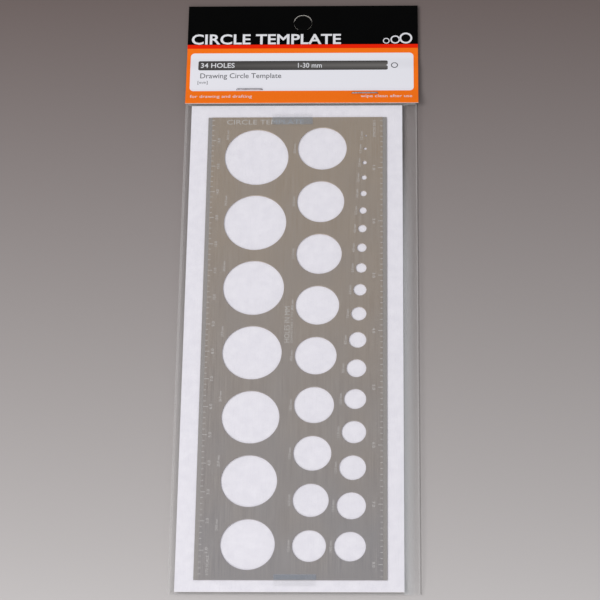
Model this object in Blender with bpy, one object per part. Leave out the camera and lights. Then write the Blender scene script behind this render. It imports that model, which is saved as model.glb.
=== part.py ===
"""Circle drawing template in its shop pack.

An etched metal template is taped to a white card. The card slides in a clear film sleeve, and a folded
header card with a knock-out hang hole is stapled over the sleeve's open top. The pack lies on its back:
+Z is the front face, +Y runs towards the header, and the origin is the centre of the underside.
"""

import math

import bmesh
import bpy
from mathutils import Vector

MM = 0.001

# Air kept between layers that lie on each other, because every layer is a solid of its own.
LAYER_GAP = 0.3 * MM

# Etched metal template.
TEMPLATE_WIDTH = 84.4 * MM
TEMPLATE_LENGTH = 235.0 * MM
TEMPLATE_THICKNESS = 0.3 * MM
RULE_BAND_WIDTH = 1.9 * MM
RULE_BAND_DEPTH = 0.1 * MM

# Drawing holes, by diameter, and the bars of metal kept below and above each column.
LARGE_SMALLEST, LARGE_LARGEST, LARGE_STEP = 24.0 * MM, 30.0 * MM, 1.0 * MM
LARGE_BELOW, LARGE_ABOVE, LARGE_CENTRE_FROM_LEFT = 4.65 * MM, 6.85 * MM, 23.2 * MM
MIDDLE_SMALLEST, MIDDLE_LARGEST, MIDDLE_STEP = 15.0 * MM, 23.0 * MM, 1.0 * MM
MIDDLE_BELOW, MIDDLE_ABOVE, MIDDLE_EDGE_FROM_LEFT = 8.45 * MM, 5.7 * MM, 42.6 * MM
SMALL_SMALLEST, SMALL_TURNOVER, SMALL_LARGEST = 1.0 * MM, 5.0 * MM, 14.0 * MM
SMALL_FINE_STEP, SMALL_STEP = 0.5 * MM, 1.0 * MM
SMALL_BELOW, SMALL_ABOVE, SMALL_EDGE_FROM_RIGHT = 8.7 * MM, 9.7 * MM, 9.37 * MM

# Backing card, as margins round the template.
CARD_THICKNESS = 0.4 * MM
CARD_MARGIN_LEFT, CARD_MARGIN_RIGHT = 8.2 * MM, 7.4 * MM
CARD_MARGIN_BELOW, CARD_MARGIN_ABOVE = 5.35 * MM, 6.8 * MM

# Clear tapes that hold the template's two short edges to the card.
TAPE_THICKNESS = 0.1 * MM
TOP_TAPE_LENGTH, TOP_TAPE_FROM_LEFT = 19.5 * MM, 30.1 * MM
TOP_TAPE_ON_TEMPLATE, TOP_TAPE_ON_CARD = 4.0 * MM, 2.2 * MM
BOTTOM_TAPE_LENGTH, BOTTOM_TAPE_FROM_LEFT = 18.9 * MM, 34.7 * MM
BOTTOM_TAPE_ON_TEMPLATE, BOTTOM_TAPE_ON_CARD = 2.5 * MM, 2.8 * MM

# Film sleeve round the card.
FILM_THICKNESS = 0.1 * MM
SLEEVE_SLACK_LEFT, SLEEVE_SLACK_RIGHT = 3.0 * MM, 7.5 * MM
WELD_WIDTH = 1.2 * MM
WELD_FILM_SPREAD = 0.25 * MM
BACK_FILM_DROOP_RUN = 14.0 * MM
BOTTOM_FOLD_DEPTH = 0.5 * MM
MOUTH_CLOSING_RUN = 12.0 * MM

# Header card folded over the sleeve's mouth.
HEADER_THICKNESS = 0.3 * MM
HEADER_HEIGHT = 56.8 * MM
HEADER_BACK_SHORTER = 2.0 * MM
HEADER_SIDE_OVERHANG = 0.2 * MM
CARD_TO_HEADER = 0.4 * MM
HEADER_OVER_SLEEVE = 19.0 * MM
HEADER_CLOSING_RUN = 8.0 * MM

# Knock-out hang hole: a round cut that stops short at the foot, where each tab folds.
HANG_HOLE_RADIUS = 4.5 * MM
HANG_HOLE_BELOW_FOLD = 10.0 * MM
HANG_CREASE_HALF_ANGLE = math.radians(32.0)
HANG_CUT_WIDTH = 0.3 * MM
HANG_CREASE_STEP = 0.35 * MM

# Staples, with the distance of each above the header's lower edge and from the header's middle.
WIRE_THICKNESS, WIRE_WIDTH = 0.5 * MM, 0.7 * MM
STAPLE_WIDTH = 12.7 * MM
STAPLE_BEND_RADIUS = 0.6 * MM
STAPLE_CLINCHED_LENGTH = 4.4 * MM
STAPLE_HOLE_CLEARANCE = 0.3 * MM
LEFT_STAPLE_ABOVE_EDGE, LEFT_STAPLE_FROM_MIDDLE = 8.4 * MM, -25.0 * MM
RIGHT_STAPLE_ABOVE_EDGE, RIGHT_STAPLE_FROM_MIDDLE = 5.9 * MM, 30.0 * MM

# How far the card slides up before its top edge meets the lower staple's legs.
INSERT_TRAVEL = 5.0 * MM

# Facets on round shapes.
BEND_SEGMENTS = 6
CUTTER_MARGIN = 1.0 * MM

# Places along X and Y that follow from the sizes above.
CARD_WIDTH = CARD_MARGIN_LEFT + TEMPLATE_WIDTH + CARD_MARGIN_RIGHT
CARD_LENGTH = CARD_MARGIN_BELOW + TEMPLATE_LENGTH + CARD_MARGIN_ABOVE
SLEEVE_WIDTH = SLEEVE_SLACK_LEFT + CARD_WIDTH + SLEEVE_SLACK_RIGHT
FOLD_LENGTH = FILM_THICKNESS / 2 + BOTTOM_FOLD_DEPTH + LAYER_GAP
PACK_LENGTH = FOLD_LENGTH + CARD_LENGTH + CARD_TO_HEADER + HEADER_HEIGHT
CARD_LEFT = -SLEEVE_WIDTH / 2 + SLEEVE_SLACK_LEFT
CARD_BOTTOM = -PACK_LENGTH / 2 + FOLD_LENGTH
CARD_TOP = CARD_BOTTOM + CARD_LENGTH
TEMPLATE_LEFT = CARD_LEFT + CARD_MARGIN_LEFT
TEMPLATE_BOTTOM = CARD_BOTTOM + CARD_MARGIN_BELOW
TEMPLATE_TOP = TEMPLATE_BOTTOM + TEMPLATE_LENGTH
FILM_EDGE = SLEEVE_WIDTH / 2 - WELD_WIDTH - LAYER_GAP
LEFT_SIDE_RUN = SLEEVE_SLACK_LEFT - WELD_WIDTH - 2 * LAYER_GAP
RIGHT_SIDE_RUN = SLEEVE_SLACK_RIGHT - WELD_WIDTH - 2 * LAYER_GAP
HEADER_WIDTH = SLEEVE_WIDTH + 2 * HEADER_SIDE_OVERHANG
HEADER_BOTTOM = CARD_TOP + CARD_TO_HEADER
HEADER_TOP = HEADER_BOTTOM + HEADER_HEIGHT
SLEEVE_TOP = HEADER_BOTTOM + HEADER_OVER_SLEEVE
MOUTH_CLOSING_START = TEMPLATE_TOP + INSERT_TRAVEL + LAYER_GAP
MOUTH_CLOSING_END = MOUTH_CLOSING_START + MOUTH_CLOSING_RUN
HEADER_CLOSING_START = SLEEVE_TOP + LAYER_GAP
HEADER_CLOSING_END = HEADER_CLOSING_START + HEADER_CLOSING_RUN
HANG_HOLE_Y = HEADER_TOP - HANG_HOLE_BELOW_FOLD
CREASE_BELOW_CENTRE = HANG_HOLE_RADIUS * math.cos(HANG_CREASE_HALF_ANGLE)

# Heights, from the staples' clinched legs on the table up through the layers.
BACK_PANEL_LOW = WIRE_THICKNESS + LAYER_GAP
BACK_PANEL_MIDDLE = BACK_PANEL_LOW + HEADER_THICKNESS / 2
BACK_FILM_MIDDLE = BACK_PANEL_LOW + HEADER_THICKNESS + LAYER_GAP + FILM_THICKNESS / 2
CARD_LOW = BACK_FILM_MIDDLE + FILM_THICKNESS / 2 + LAYER_GAP
CARD_HIGH = CARD_LOW + CARD_THICKNESS
TEMPLATE_LOW = CARD_HIGH + LAYER_GAP
TEMPLATE_HIGH = TEMPLATE_LOW + TEMPLATE_THICKNESS
TAPE_ON_CARD_MIDDLE = CARD_HIGH + LAYER_GAP + TAPE_THICKNESS / 2
TAPE_ON_TEMPLATE_MIDDLE = TEMPLATE_HIGH + LAYER_GAP + TAPE_THICKNESS / 2
FRONT_FILM_MIDDLE = TAPE_ON_TEMPLATE_MIDDLE + (TAPE_THICKNESS + FILM_THICKNESS) / 2 + LAYER_GAP
FRONT_FILM_FOOT = CARD_HIGH + LAYER_GAP + FILM_THICKNESS / 2
FRONT_FILM_MOUTH = BACK_FILM_MIDDLE + FILM_THICKNESS + LAYER_GAP
PANEL_OVER_FILM = (FILM_THICKNESS + HEADER_THICKNESS) / 2 + LAYER_GAP
FRONT_PANEL_CLOSED = BACK_PANEL_MIDDLE + HEADER_THICKNESS + LAYER_GAP


def smoothstep(value, start, end):
    """Ease from 0 at start to 1 at end, level at both."""
    share = min(max((value - start) / (end - start), 0.0), 1.0)
    return share * share * (3.0 - 2.0 * share)


def blend(low, high, share):
    return low + (high - low) * share


def spaced(start, end, count):
    """Evenly spaced values from start to end, both included, in count steps."""
    return [blend(start, end, index / count) for index in range(count + 1)]


def back_film_height(y):
    """Middle of the back film: flat under the card, down to the table at the bottom fold."""
    droop = smoothstep(y, CARD_BOTTOM, CARD_BOTTOM + BACK_FILM_DROOP_RUN)
    return blend(FILM_THICKNESS / 2, BACK_FILM_MIDDLE, droop)


def front_film_height(y):
    """Middle of the front film: over the template, down at the fold and at the stapled mouth."""
    rise = smoothstep(y, CARD_BOTTOM, TEMPLATE_BOTTOM - LAYER_GAP)
    fall = smoothstep(y, MOUTH_CLOSING_START, MOUTH_CLOSING_END)
    body = blend(FRONT_FILM_FOOT, FRONT_FILM_MIDDLE, rise)
    return blend(body, FRONT_FILM_MOUTH, fall)


def weld_height(y):
    return (back_film_height(y) + front_film_height(y)) / 2


def front_panel_height(y):
    """Middle of the header's front panel: over the film, then down onto the back panel."""
    fall = smoothstep(y, HEADER_CLOSING_START, HEADER_CLOSING_END)
    return blend(front_film_height(y) + PANEL_OVER_FILM, FRONT_PANEL_CLOSED, fall)


def clear_scene():
    for scene_object in list(bpy.data.objects):
        bpy.data.objects.remove(scene_object, do_unlink=True)


def make_material(name, colour, roughness, metallic=0.0, alpha=1.0):
    material = bpy.data.materials.new(name)
    material.use_nodes = True
    shader = material.node_tree.nodes["Principled BSDF"]
    shader.inputs["Base Color"].default_value = (*colour, 1.0)
    shader.inputs["Roughness"].default_value = roughness
    shader.inputs["Metallic"].default_value = metallic
    shader.inputs["Alpha"].default_value = alpha
    return material


def make_object(name, mesh_builder, material=None, origin=(0.0, 0.0, 0.0)):
    """Turn a bmesh into an object whose origin is at the given point of the pack."""
    bmesh.ops.recalc_face_normals(mesh_builder, faces=mesh_builder.faces)
    bmesh.ops.translate(mesh_builder, verts=mesh_builder.verts, vec=-Vector(origin))
    mesh = bpy.data.meshes.new(name)
    mesh_builder.to_mesh(mesh)
    mesh_builder.free()
    new_object = bpy.data.objects.new(name, mesh)
    new_object.location = origin
    bpy.context.scene.collection.objects.link(new_object)
    if material:
        mesh.materials.append(material)
    return new_object


def shade_round(target, angle=math.radians(35.0)):
    target.data.shade_smooth()
    target.data.set_sharp_from_angle(angle=angle)


def make_empty(name, location):
    empty = bpy.data.objects.new(name, None)
    empty.location = location
    bpy.context.scene.collection.objects.link(empty)
    return empty


def extrude_loops(loops, direction):
    """Solid from flat loops, the first one the outside and the others holes, pushed along a vector."""
    builder = bmesh.new()
    edges = []
    for loop in loops:
        corners = [builder.verts.new(point) for point in loop]
        edges += [builder.edges.new(pair) for pair in zip(corners, corners[1:] + corners[:1])]
    bmesh.ops.triangle_fill(builder, use_beauty=True, edges=edges)
    pushed = bmesh.ops.extrude_face_region(builder, geom=list(builder.faces), use_keep_orig=True)
    moved = [item for item in pushed["geom"] if isinstance(item, bmesh.types.BMVert)]
    bmesh.ops.translate(builder, verts=moved, vec=direction)
    return builder


def ribbon_outline(centre_line, thickness):
    """Closed outline of a strip of even thickness along a flat centre line of (u, v) points."""
    points = [Vector(point) for point in centre_line]
    upper, lower = [], []
    for index, point in enumerate(points):
        before = points[max(index - 1, 0)]
        after = points[min(index + 1, len(points) - 1)]
        arriving = (point - before).normalized() if index else (after - point).normalized()
        leaving = (after - point).normalized() if point != after else arriving
        along = (arriving + leaving).normalized()
        across = Vector((-along.y, along.x)) * (thickness / 2 / max(along.dot(leaving), 0.5))
        upper.append(point + across)
        lower.append(point - across)
    return upper + lower[::-1]


def strip_along_x(centre_line, thickness, left, right):
    """Sheet bent along Y: its (y, z) centre line pushed from left to right."""
    outline = ribbon_outline(centre_line, thickness)
    return extrude_loops([[(left, y, z) for y, z in outline]], Vector((right - left, 0.0, 0.0)))


def sheet_between(xs, ys, height, thickness):
    """Closed sheet over a grid of places, with its middle at height(x, y)."""
    builder = bmesh.new()
    grids = []
    for side in (-0.5, 0.5):
        grids.append([[builder.verts.new((x, y, height(x, y) + side * thickness)) for x in xs] for y in ys])
    for grid in grids:
        for near, far in zip(grid, grid[1:]):
            for index in range(len(xs) - 1):
                builder.faces.new((near[index], near[index + 1], far[index + 1], far[index]))
    low_rim, high_rim = [rim_of(grid) for grid in grids]
    for index in range(len(low_rim)):
        follower = (index + 1) % len(low_rim)
        builder.faces.new((low_rim[index], low_rim[follower], high_rim[follower], high_rim[index]))
    return builder


def rim_of(grid):
    """Outer vertices of a grid of rows, in order round the edge."""
    right_side = [row[-1] for row in grid[1:-1]]
    left_side = [row[0] for row in grid[-2:0:-1]]
    return grid[0] + right_side + grid[-1][::-1] + left_side


def box_builder(low, high):
    builder = bmesh.new()
    bmesh.ops.create_cube(builder, size=1.0)
    size = Vector(high) - Vector(low)
    bmesh.ops.scale(builder, verts=builder.verts, vec=size)
    bmesh.ops.translate(builder, verts=builder.verts, vec=Vector(low) + size / 2)
    return builder


def cut(target, name, builder):
    """Cut a shape out of an object and keep the cutter as a hidden guide."""
    cutter = make_object(name, builder)
    cutter.hide_render = True
    cutter.display_type = "WIRE"
    modifier = target.modifiers.new(name, "BOOLEAN")
    modifier.operation = "DIFFERENCE"
    modifier.solver = "EXACT"
    modifier.object = cutter


def circle_points(x, y, z, radius, segments):
    turn = 2 * math.pi / segments
    return [(x + radius * math.cos(turn * i), y + radius * math.sin(turn * i), z) for i in range(segments)]


def hole_segments(diameter):
    """Facets of a drawing hole, from 12 on the smallest to 40 on the largest."""
    return 4 * round(3 + 7 * diameter / LARGE_LARGEST)


def diameters_between(first, last, step):
    count = round((last - first) / step)
    return [first + step * index for index in range(count + 1)]


def column_centres(diameters, below, above):
    """Heights of hole centres from the bottom up, with equal bars of metal between the holes."""
    spare = TEMPLATE_LENGTH - below - above - sum(diameters)
    bar = spare / (len(diameters) - 1)
    centres, edge = [], TEMPLATE_BOTTOM + below
    for diameter in diameters:
        centres.append(edge + diameter / 2)
        edge += diameter + bar
    return centres


def drawing_holes():
    """Every drawing hole as (x, y, diameter), in its three columns."""
    large = diameters_between(LARGE_SMALLEST, LARGE_LARGEST, LARGE_STEP)
    middle = diameters_between(MIDDLE_SMALLEST, MIDDLE_LARGEST, MIDDLE_STEP)
    fine = diameters_between(SMALL_SMALLEST, SMALL_TURNOVER, SMALL_FINE_STEP)
    coarse = diameters_between(SMALL_TURNOVER + SMALL_STEP, SMALL_LARGEST, SMALL_STEP)
    small = (fine + coarse)[::-1]
    template_right = TEMPLATE_LEFT + TEMPLATE_WIDTH
    holes = []
    for diameter, y in zip(large, column_centres(large, LARGE_BELOW, LARGE_ABOVE)):
        holes.append((TEMPLATE_LEFT + LARGE_CENTRE_FROM_LEFT, y, diameter))
    for diameter, y in zip(middle, column_centres(middle, MIDDLE_BELOW, MIDDLE_ABOVE)):
        holes.append((TEMPLATE_LEFT + MIDDLE_EDGE_FROM_LEFT + diameter / 2, y, diameter))
    for diameter, y in zip(small, column_centres(small, SMALL_BELOW, SMALL_ABOVE)):
        holes.append((template_right - SMALL_EDGE_FROM_RIGHT - diameter / 2, y, diameter))
    return holes


def rectangle(left, right, bottom, top, z):
    return [(left, bottom, z), (right, bottom, z), (right, top, z), (left, top, z)]


def build_template(material, carrier):
    """Metal plate with its drawing holes and a half-etched band for a rule along each long edge."""
    right = TEMPLATE_LEFT + TEMPLATE_WIDTH
    loops = [rectangle(TEMPLATE_LEFT, right, TEMPLATE_BOTTOM, TEMPLATE_TOP, TEMPLATE_LOW)]
    for x, y, diameter in drawing_holes():
        loops.append(circle_points(x, y, TEMPLATE_LOW, diameter / 2, hole_segments(diameter)))
    builder = extrude_loops(loops, Vector((0.0, 0.0, TEMPLATE_THICKNESS)))
    plate = make_object("template_plate", builder, material)
    shade_round(plate)
    band_low = TEMPLATE_HIGH - RULE_BAND_DEPTH
    outer = {"left": TEMPLATE_LEFT - CUTTER_MARGIN, "right": right - RULE_BAND_WIDTH}
    for side, start in outer.items():
        low = (start, TEMPLATE_BOTTOM - CUTTER_MARGIN, band_low)
        end = start + RULE_BAND_WIDTH + CUTTER_MARGIN
        high = (end, TEMPLATE_TOP + CUTTER_MARGIN, TEMPLATE_HIGH + CUTTER_MARGIN)
        cut(plate, f"rule_band_cutter_{side}", box_builder(low, high))
    plate.parent = carrier


def build_card(material, carrier):
    low = (CARD_LEFT, CARD_BOTTOM, CARD_LOW)
    high = (CARD_LEFT + CARD_WIDTH, CARD_TOP, CARD_HIGH)
    card = make_object("backing_card", box_builder(low, high), material)
    card.parent = carrier


def build_tape(name, material, carrier, edge, inwards, from_left, length, on_template, on_card):
    """Tape over one short edge of the template, stepping down from the metal to the card."""
    step = TAPE_ON_TEMPLATE_MIDDLE - TAPE_ON_CARD_MIDDLE
    step_start = edge - inwards * LAYER_GAP
    line = [
        (edge + inwards * on_template, TAPE_ON_TEMPLATE_MIDDLE),
        (step_start, TAPE_ON_TEMPLATE_MIDDLE),
        (step_start - inwards * step, TAPE_ON_CARD_MIDDLE),
        (edge - inwards * on_card, TAPE_ON_CARD_MIDDLE),
    ]
    left = TEMPLATE_LEFT + from_left
    tape = make_object(name, strip_along_x(line, TAPE_THICKNESS, left, left + length), material)
    tape.parent = carrier


def build_insert(materials):
    """Card, template and tapes, on a carrier that slides along the sleeve."""
    carrier = make_empty("insert_slide", (CARD_LEFT + CARD_WIDTH / 2, CARD_BOTTOM, CARD_LOW))
    bpy.context.view_layer.update()
    build_card(materials["card"], carrier)
    build_template(materials["metal"], carrier)
    build_tape("tape_top", materials["tape"], carrier, TEMPLATE_TOP, -1,
               TOP_TAPE_FROM_LEFT, TOP_TAPE_LENGTH, TOP_TAPE_ON_TEMPLATE, TOP_TAPE_ON_CARD)
    build_tape("tape_bottom", materials["tape"], carrier, TEMPLATE_BOTTOM, 1,
               BOTTOM_TAPE_FROM_LEFT, BOTTOM_TAPE_LENGTH, BOTTOM_TAPE_ON_TEMPLATE, BOTTOM_TAPE_ON_CARD)
    for child in carrier.children:
        child.matrix_parent_inverse = carrier.matrix_world.inverted()


def film_height(profile, edge_offset):
    """Height of a film at (x, y): its own profile beside the card, drawn in to the weld at both sides."""

    def height(x, y):
        side_run = LEFT_SIDE_RUN if x < 0 else RIGHT_SIDE_RUN
        inward = smoothstep(FILM_EDGE - abs(x), 0.0, side_run)
        spread = min(WELD_FILM_SPREAD, (front_film_height(y) - back_film_height(y)) / 2)
        return blend(weld_height(y) + edge_offset * spread, profile(y), inward)

    return height


def film_stations():
    """Places across a film, close together where it bends in to the welds."""
    left = spaced(-FILM_EDGE, -FILM_EDGE + LEFT_SIDE_RUN, BEND_SEGMENTS)
    return left + spaced(FILM_EDGE - RIGHT_SIDE_RUN, FILM_EDGE, BEND_SEGMENTS)


def sleeve_rows():
    """Places along the sleeve, close together where the films bend."""
    foot = spaced(CARD_BOTTOM, TEMPLATE_BOTTOM - LAYER_GAP, BEND_SEGMENTS)
    droop = spaced(TEMPLATE_BOTTOM + LAYER_GAP, CARD_BOTTOM + BACK_FILM_DROOP_RUN, BEND_SEGMENTS)
    mouth = spaced(MOUTH_CLOSING_START, MOUTH_CLOSING_END, 2 * BEND_SEGMENTS)
    return foot + droop + mouth + [SLEEVE_TOP]


def build_sleeve(material):
    """Clear film sleeve: two films, a weld down each side and the fold at the bottom."""
    rows = sleeve_rows()
    columns = film_stations()
    back = sheet_between(columns, rows, film_height(back_film_height, -1), FILM_THICKNESS)
    front = sheet_between(columns, rows, film_height(front_film_height, 1), FILM_THICKNESS)
    films = [make_object("sleeve_back_film", back, material)]
    films.append(make_object("sleeve_front_film", front, material))
    for side, name in ((-1, "left"), (1, "right")):
        xs = sorted((side * SLEEVE_WIDTH / 2, side * (SLEEVE_WIDTH / 2 - WELD_WIDTH)))
        weld = sheet_between(xs, rows, lambda x, y: weld_height(y), 2 * FILM_THICKNESS)
        films.append(make_object(f"sleeve_weld_{name}", weld, material))
    centre = (front_film_height(CARD_BOTTOM) + back_film_height(CARD_BOTTOM)) / 2
    reach = centre - back_film_height(CARD_BOTTOM)
    line = []
    for angle in spaced(0.0, math.pi, 2 * BEND_SEGMENTS):
        y = CARD_BOTTOM - LAYER_GAP - BOTTOM_FOLD_DEPTH * math.sin(angle)
        line.append((y, centre + reach * math.cos(angle)))
    fold = strip_along_x(line, FILM_THICKNESS, -SLEEVE_WIDTH / 2, SLEEVE_WIDTH / 2)
    films.append(make_object("sleeve_bottom_fold", fold, material))
    for film in films:
        shade_round(film)
    return films[:2]


def tab_outline(radius, crease_y):
    """Round outline above a straight crease, as (x, y) points from one crease end to the other."""
    start = math.asin((crease_y - HANG_HOLE_Y) / radius)
    angles = spaced(start, math.pi - start, 8 * BEND_SEGMENTS)
    return [(radius * math.cos(angle), HANG_HOLE_Y + radius * math.sin(angle)) for angle in angles]


def build_header(card_material, print_material):
    """Folded header card: front and back panels and the fold, with the hang hole through both panels."""
    half = HEADER_WIDTH / 2
    fold_radius = (FRONT_PANEL_CLOSED - BACK_PANEL_MIDDLE) / 2
    panel_top = HEADER_TOP - HEADER_THICKNESS / 2 - fold_radius - LAYER_GAP
    rows = spaced(HEADER_BOTTOM, MOUTH_CLOSING_END, 2 * BEND_SEGMENTS)
    rows += spaced(HEADER_CLOSING_START, HEADER_CLOSING_END, BEND_SEGMENTS) + [panel_top]
    front_line = [(y, front_panel_height(y)) for y in rows]
    back_line = [(HEADER_BOTTOM + HEADER_BACK_SHORTER, BACK_PANEL_MIDDLE), (panel_top, BACK_PANEL_MIDDLE)]
    front = make_object("header_front_panel", strip_along_x(front_line, HEADER_THICKNESS, -half, half),
                        print_material)
    back = make_object("header_back_panel", strip_along_x(back_line, HEADER_THICKNESS, -half, half),
                       card_material)
    line = []
    for angle in spaced(math.pi / 2, -math.pi / 2, 2 * BEND_SEGMENTS):
        y = panel_top + LAYER_GAP + fold_radius * math.cos(angle)
        line.append((y, BACK_PANEL_MIDDLE + fold_radius + fold_radius * math.sin(angle)))
    fold = make_object("header_fold", strip_along_x(line, HEADER_THICKNESS, -half, half), print_material)
    for piece in (front, back, fold):
        shade_round(piece)
    return front, back


def build_hang_tab(name, panel, height, crease_y, material):
    """Cut the hang hole in one panel and fill it with the tab that folds forward about its crease."""
    hole = tab_outline(HANG_HOLE_RADIUS, crease_y)
    below = [(x, y, height - CUTTER_MARGIN) for x, y in hole]
    cut(panel, f"{name}_hole_cutter", extrude_loops([below], Vector((0.0, 0.0, 2 * CUTTER_MARGIN))))
    disc = tab_outline(HANG_HOLE_RADIUS - HANG_CUT_WIDTH, crease_y + HANG_CUT_WIDTH)
    low = height - HEADER_THICKNESS / 2
    builder = extrude_loops([[(x, y, low) for x, y in disc]], Vector((0.0, 0.0, HEADER_THICKNESS)))
    tab = make_object(name, builder, material, origin=(0.0, crease_y, height))
    shade_round(tab)


def staple_line(centre_x, high):
    """Centre line of a clinched staple in (x, z): crown, legs, and ends turned in under the header."""
    radius = STAPLE_BEND_RADIUS
    low = WIRE_THICKNESS / 2
    side = STAPLE_WIDTH / 2 - WIRE_THICKNESS / 2
    half = [(0.0, high)]
    for angle in spaced(math.pi / 2, 0.0, BEND_SEGMENTS):
        half.append((side - radius + radius * math.cos(angle), high - radius + radius * math.sin(angle)))
    for angle in spaced(0.0, -math.pi / 2, BEND_SEGMENTS):
        half.append((side - radius + radius * math.cos(angle), low + radius + radius * math.sin(angle)))
    half.append((side - STAPLE_CLINCHED_LENGTH, low))
    mirrored = [(-x, z) for x, z in half[:0:-1]]
    return [(centre_x + x, z) for x, z in mirrored + half]


def build_staple(name, centre_x, y, sheets, material):
    """Staple through the header panels and both films, and the leg holes it needs."""
    high = front_panel_height(y - WIRE_WIDTH / 2) + HEADER_THICKNESS / 2 + LAYER_GAP + WIRE_THICKNESS / 2
    outline = ribbon_outline(staple_line(centre_x, high), WIRE_THICKNESS)
    near = y - WIRE_WIDTH / 2
    builder = extrude_loops([[(x, near, z) for x, z in outline]], Vector((0.0, WIRE_WIDTH, 0.0)))
    staple = make_object(name, builder, material)
    shade_round(staple)
    clear_x = WIRE_THICKNESS / 2 + STAPLE_HOLE_CLEARANCE
    clear_y = WIRE_WIDTH / 2 + STAPLE_HOLE_CLEARANCE
    for side, word in ((-1, "left"), (1, "right")):
        leg = centre_x + side * (STAPLE_WIDTH - WIRE_THICKNESS) / 2
        for sheet in sheets:
            low = (leg - clear_x, y - clear_y, 0.0)
            reach = (leg + clear_x, y + clear_y, high + CUTTER_MARGIN)
            cut(sheet, f"{name}_{word}_leg_cutter_{sheet.name}", box_builder(low, reach))


def main():
    clear_scene()
    materials = {
        "metal": make_material("etched_nickel_silver", (0.27, 0.24, 0.20), 0.42, metallic=0.9),
        "card": make_material("white_card", (0.80, 0.78, 0.81), 0.85),
        "tape": make_material("clear_tape", (0.70, 0.75, 0.80), 0.25, alpha=0.35),
        "film": make_material("clear_film", (0.90, 0.92, 0.94), 0.10, alpha=0.15),
        "header": make_material("header_card", (0.85, 0.84, 0.83), 0.70),
        "print": make_material("header_print", (0.78, 0.13, 0.01), 0.40),
        "tab": make_material("header_black_print", (0.01, 0.01, 0.01), 0.40),
        "wire": make_material("staple_wire", (0.55, 0.55, 0.56), 0.30, metallic=1.0),
    }
    build_insert(materials)
    films = build_sleeve(materials["film"])
    front, back = build_header(materials["header"], materials["print"])
    front_crease = HANG_HOLE_Y - CREASE_BELOW_CENTRE
    build_hang_tab("hang_tab_front", front, FRONT_PANEL_CLOSED, front_crease, materials["tab"])
    build_hang_tab("hang_tab_back", back, BACK_PANEL_MIDDLE, front_crease + HANG_CREASE_STEP,
                   materials["header"])
    sheets = films + [front, back]
    build_staple("staple_left", LEFT_STAPLE_FROM_MIDDLE, HEADER_BOTTOM + LEFT_STAPLE_ABOVE_EDGE, sheets,
                 materials["wire"])
    build_staple("staple_right", RIGHT_STAPLE_FROM_MIDDLE, HEADER_BOTTOM + RIGHT_STAPLE_ABOVE_EDGE, sheets,
                 materials["wire"])


if __name__ == "__main__":
    main()
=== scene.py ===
"""Circle drawing template in its hanging sales pack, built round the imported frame."""

import logging
import math
from dataclasses import dataclass
from enum import Enum
from typing import Optional, Sequence

import bmesh
import bpy
from mathutils import Euler, Matrix, Vector, noise


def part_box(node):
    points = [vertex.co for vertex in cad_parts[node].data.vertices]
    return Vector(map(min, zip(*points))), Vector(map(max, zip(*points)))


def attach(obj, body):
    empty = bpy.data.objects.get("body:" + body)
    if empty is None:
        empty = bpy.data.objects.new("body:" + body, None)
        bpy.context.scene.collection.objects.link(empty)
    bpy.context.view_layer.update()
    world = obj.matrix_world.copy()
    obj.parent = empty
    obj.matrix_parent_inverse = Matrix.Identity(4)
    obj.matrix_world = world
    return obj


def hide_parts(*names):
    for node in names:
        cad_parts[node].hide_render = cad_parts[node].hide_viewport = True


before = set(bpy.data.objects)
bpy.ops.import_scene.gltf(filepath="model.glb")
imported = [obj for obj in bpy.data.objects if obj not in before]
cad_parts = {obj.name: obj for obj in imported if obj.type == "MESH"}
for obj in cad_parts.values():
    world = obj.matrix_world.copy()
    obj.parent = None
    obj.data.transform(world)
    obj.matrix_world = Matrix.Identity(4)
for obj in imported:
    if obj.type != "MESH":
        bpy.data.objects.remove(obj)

LOG = logging.getLogger("circle_template")
MM = 0.001
LETTER_MERGE = 0.0005 * MM
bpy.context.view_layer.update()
Point = tuple[float, float, float]


class Body(Enum):
    """Bodies of the frame that the pieces ride on."""

    POUCH = "pouch"
    INSERT = "insert"
    FRONT_TAB = "front_tab"
    BACK_TAB = "back_tab"


class Slot(Enum):
    """Material slots of the record."""

    PLATE = "etched_plate"
    CARD = "white_card"
    TAPE = "clear_tape"
    FILM = "clear_film"
    HEADER_BOARD = "header_card"
    HEADER_PRINT = "header_print"
    HEADER_BLACK = "header_black"
    WIRE = "staple_wire"


# --------------------------------------------------------------------------- small helpers


def linear(colour: str) -> tuple[float, float, float, float]:
    """Turn an sRGB hex colour into linear red, green, blue and alpha.

    Args:
        colour: six hex digits, with or without a leading #.

    Returns:
        Linear values with alpha 1.
    """
    digits = colour.lstrip("#")
    parts = [int(digits[start:start + 2], 16) / 255 for start in (0, 2, 4)]
    values = [part / 12.92 if part <= 0.04045 else ((part + 0.055) / 1.055) ** 2.4 for part in parts]
    return (*values, 1.0)


def add_node(tree: bpy.types.NodeTree, kind: str, values: Optional[dict] = None,
             links: Optional[dict] = None, **settings: object) -> bpy.types.Node:
    """Add one node with its settings, input values and links.

    Args:
        tree: node tree that gets the node.
        kind: node type name.
        values: input name or number to default value.
        links: input name or number to the socket that feeds it.
        settings: attributes of the node itself.

    Returns:
        The new node.
    """
    node = tree.nodes.new(kind)
    for name, value in settings.items():
        setattr(node, name, value)
    for key, value in (values or {}).items():
        node.inputs[key].default_value = value
    for key, socket in (links or {}).items():
        tree.links.new(socket, node.inputs[key])
    return node


def smoothstep(value: float, start: float, end: float) -> float:
    """Ease from 0 at start to 1 at end, level at both.

    Args:
        value: place to read.
        start: place where the ease starts.
        end: place where it ends.

    Returns:
        A share from 0 to 1.
    """
    share = min(max((value - start) / (end - start), 0.0), 1.0)
    return share * share * (3.0 - 2.0 * share)


def mix(low: float, high: float, share: float) -> float:
    """Value at a share of the way from low to high."""
    return low + (high - low) * share


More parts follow.
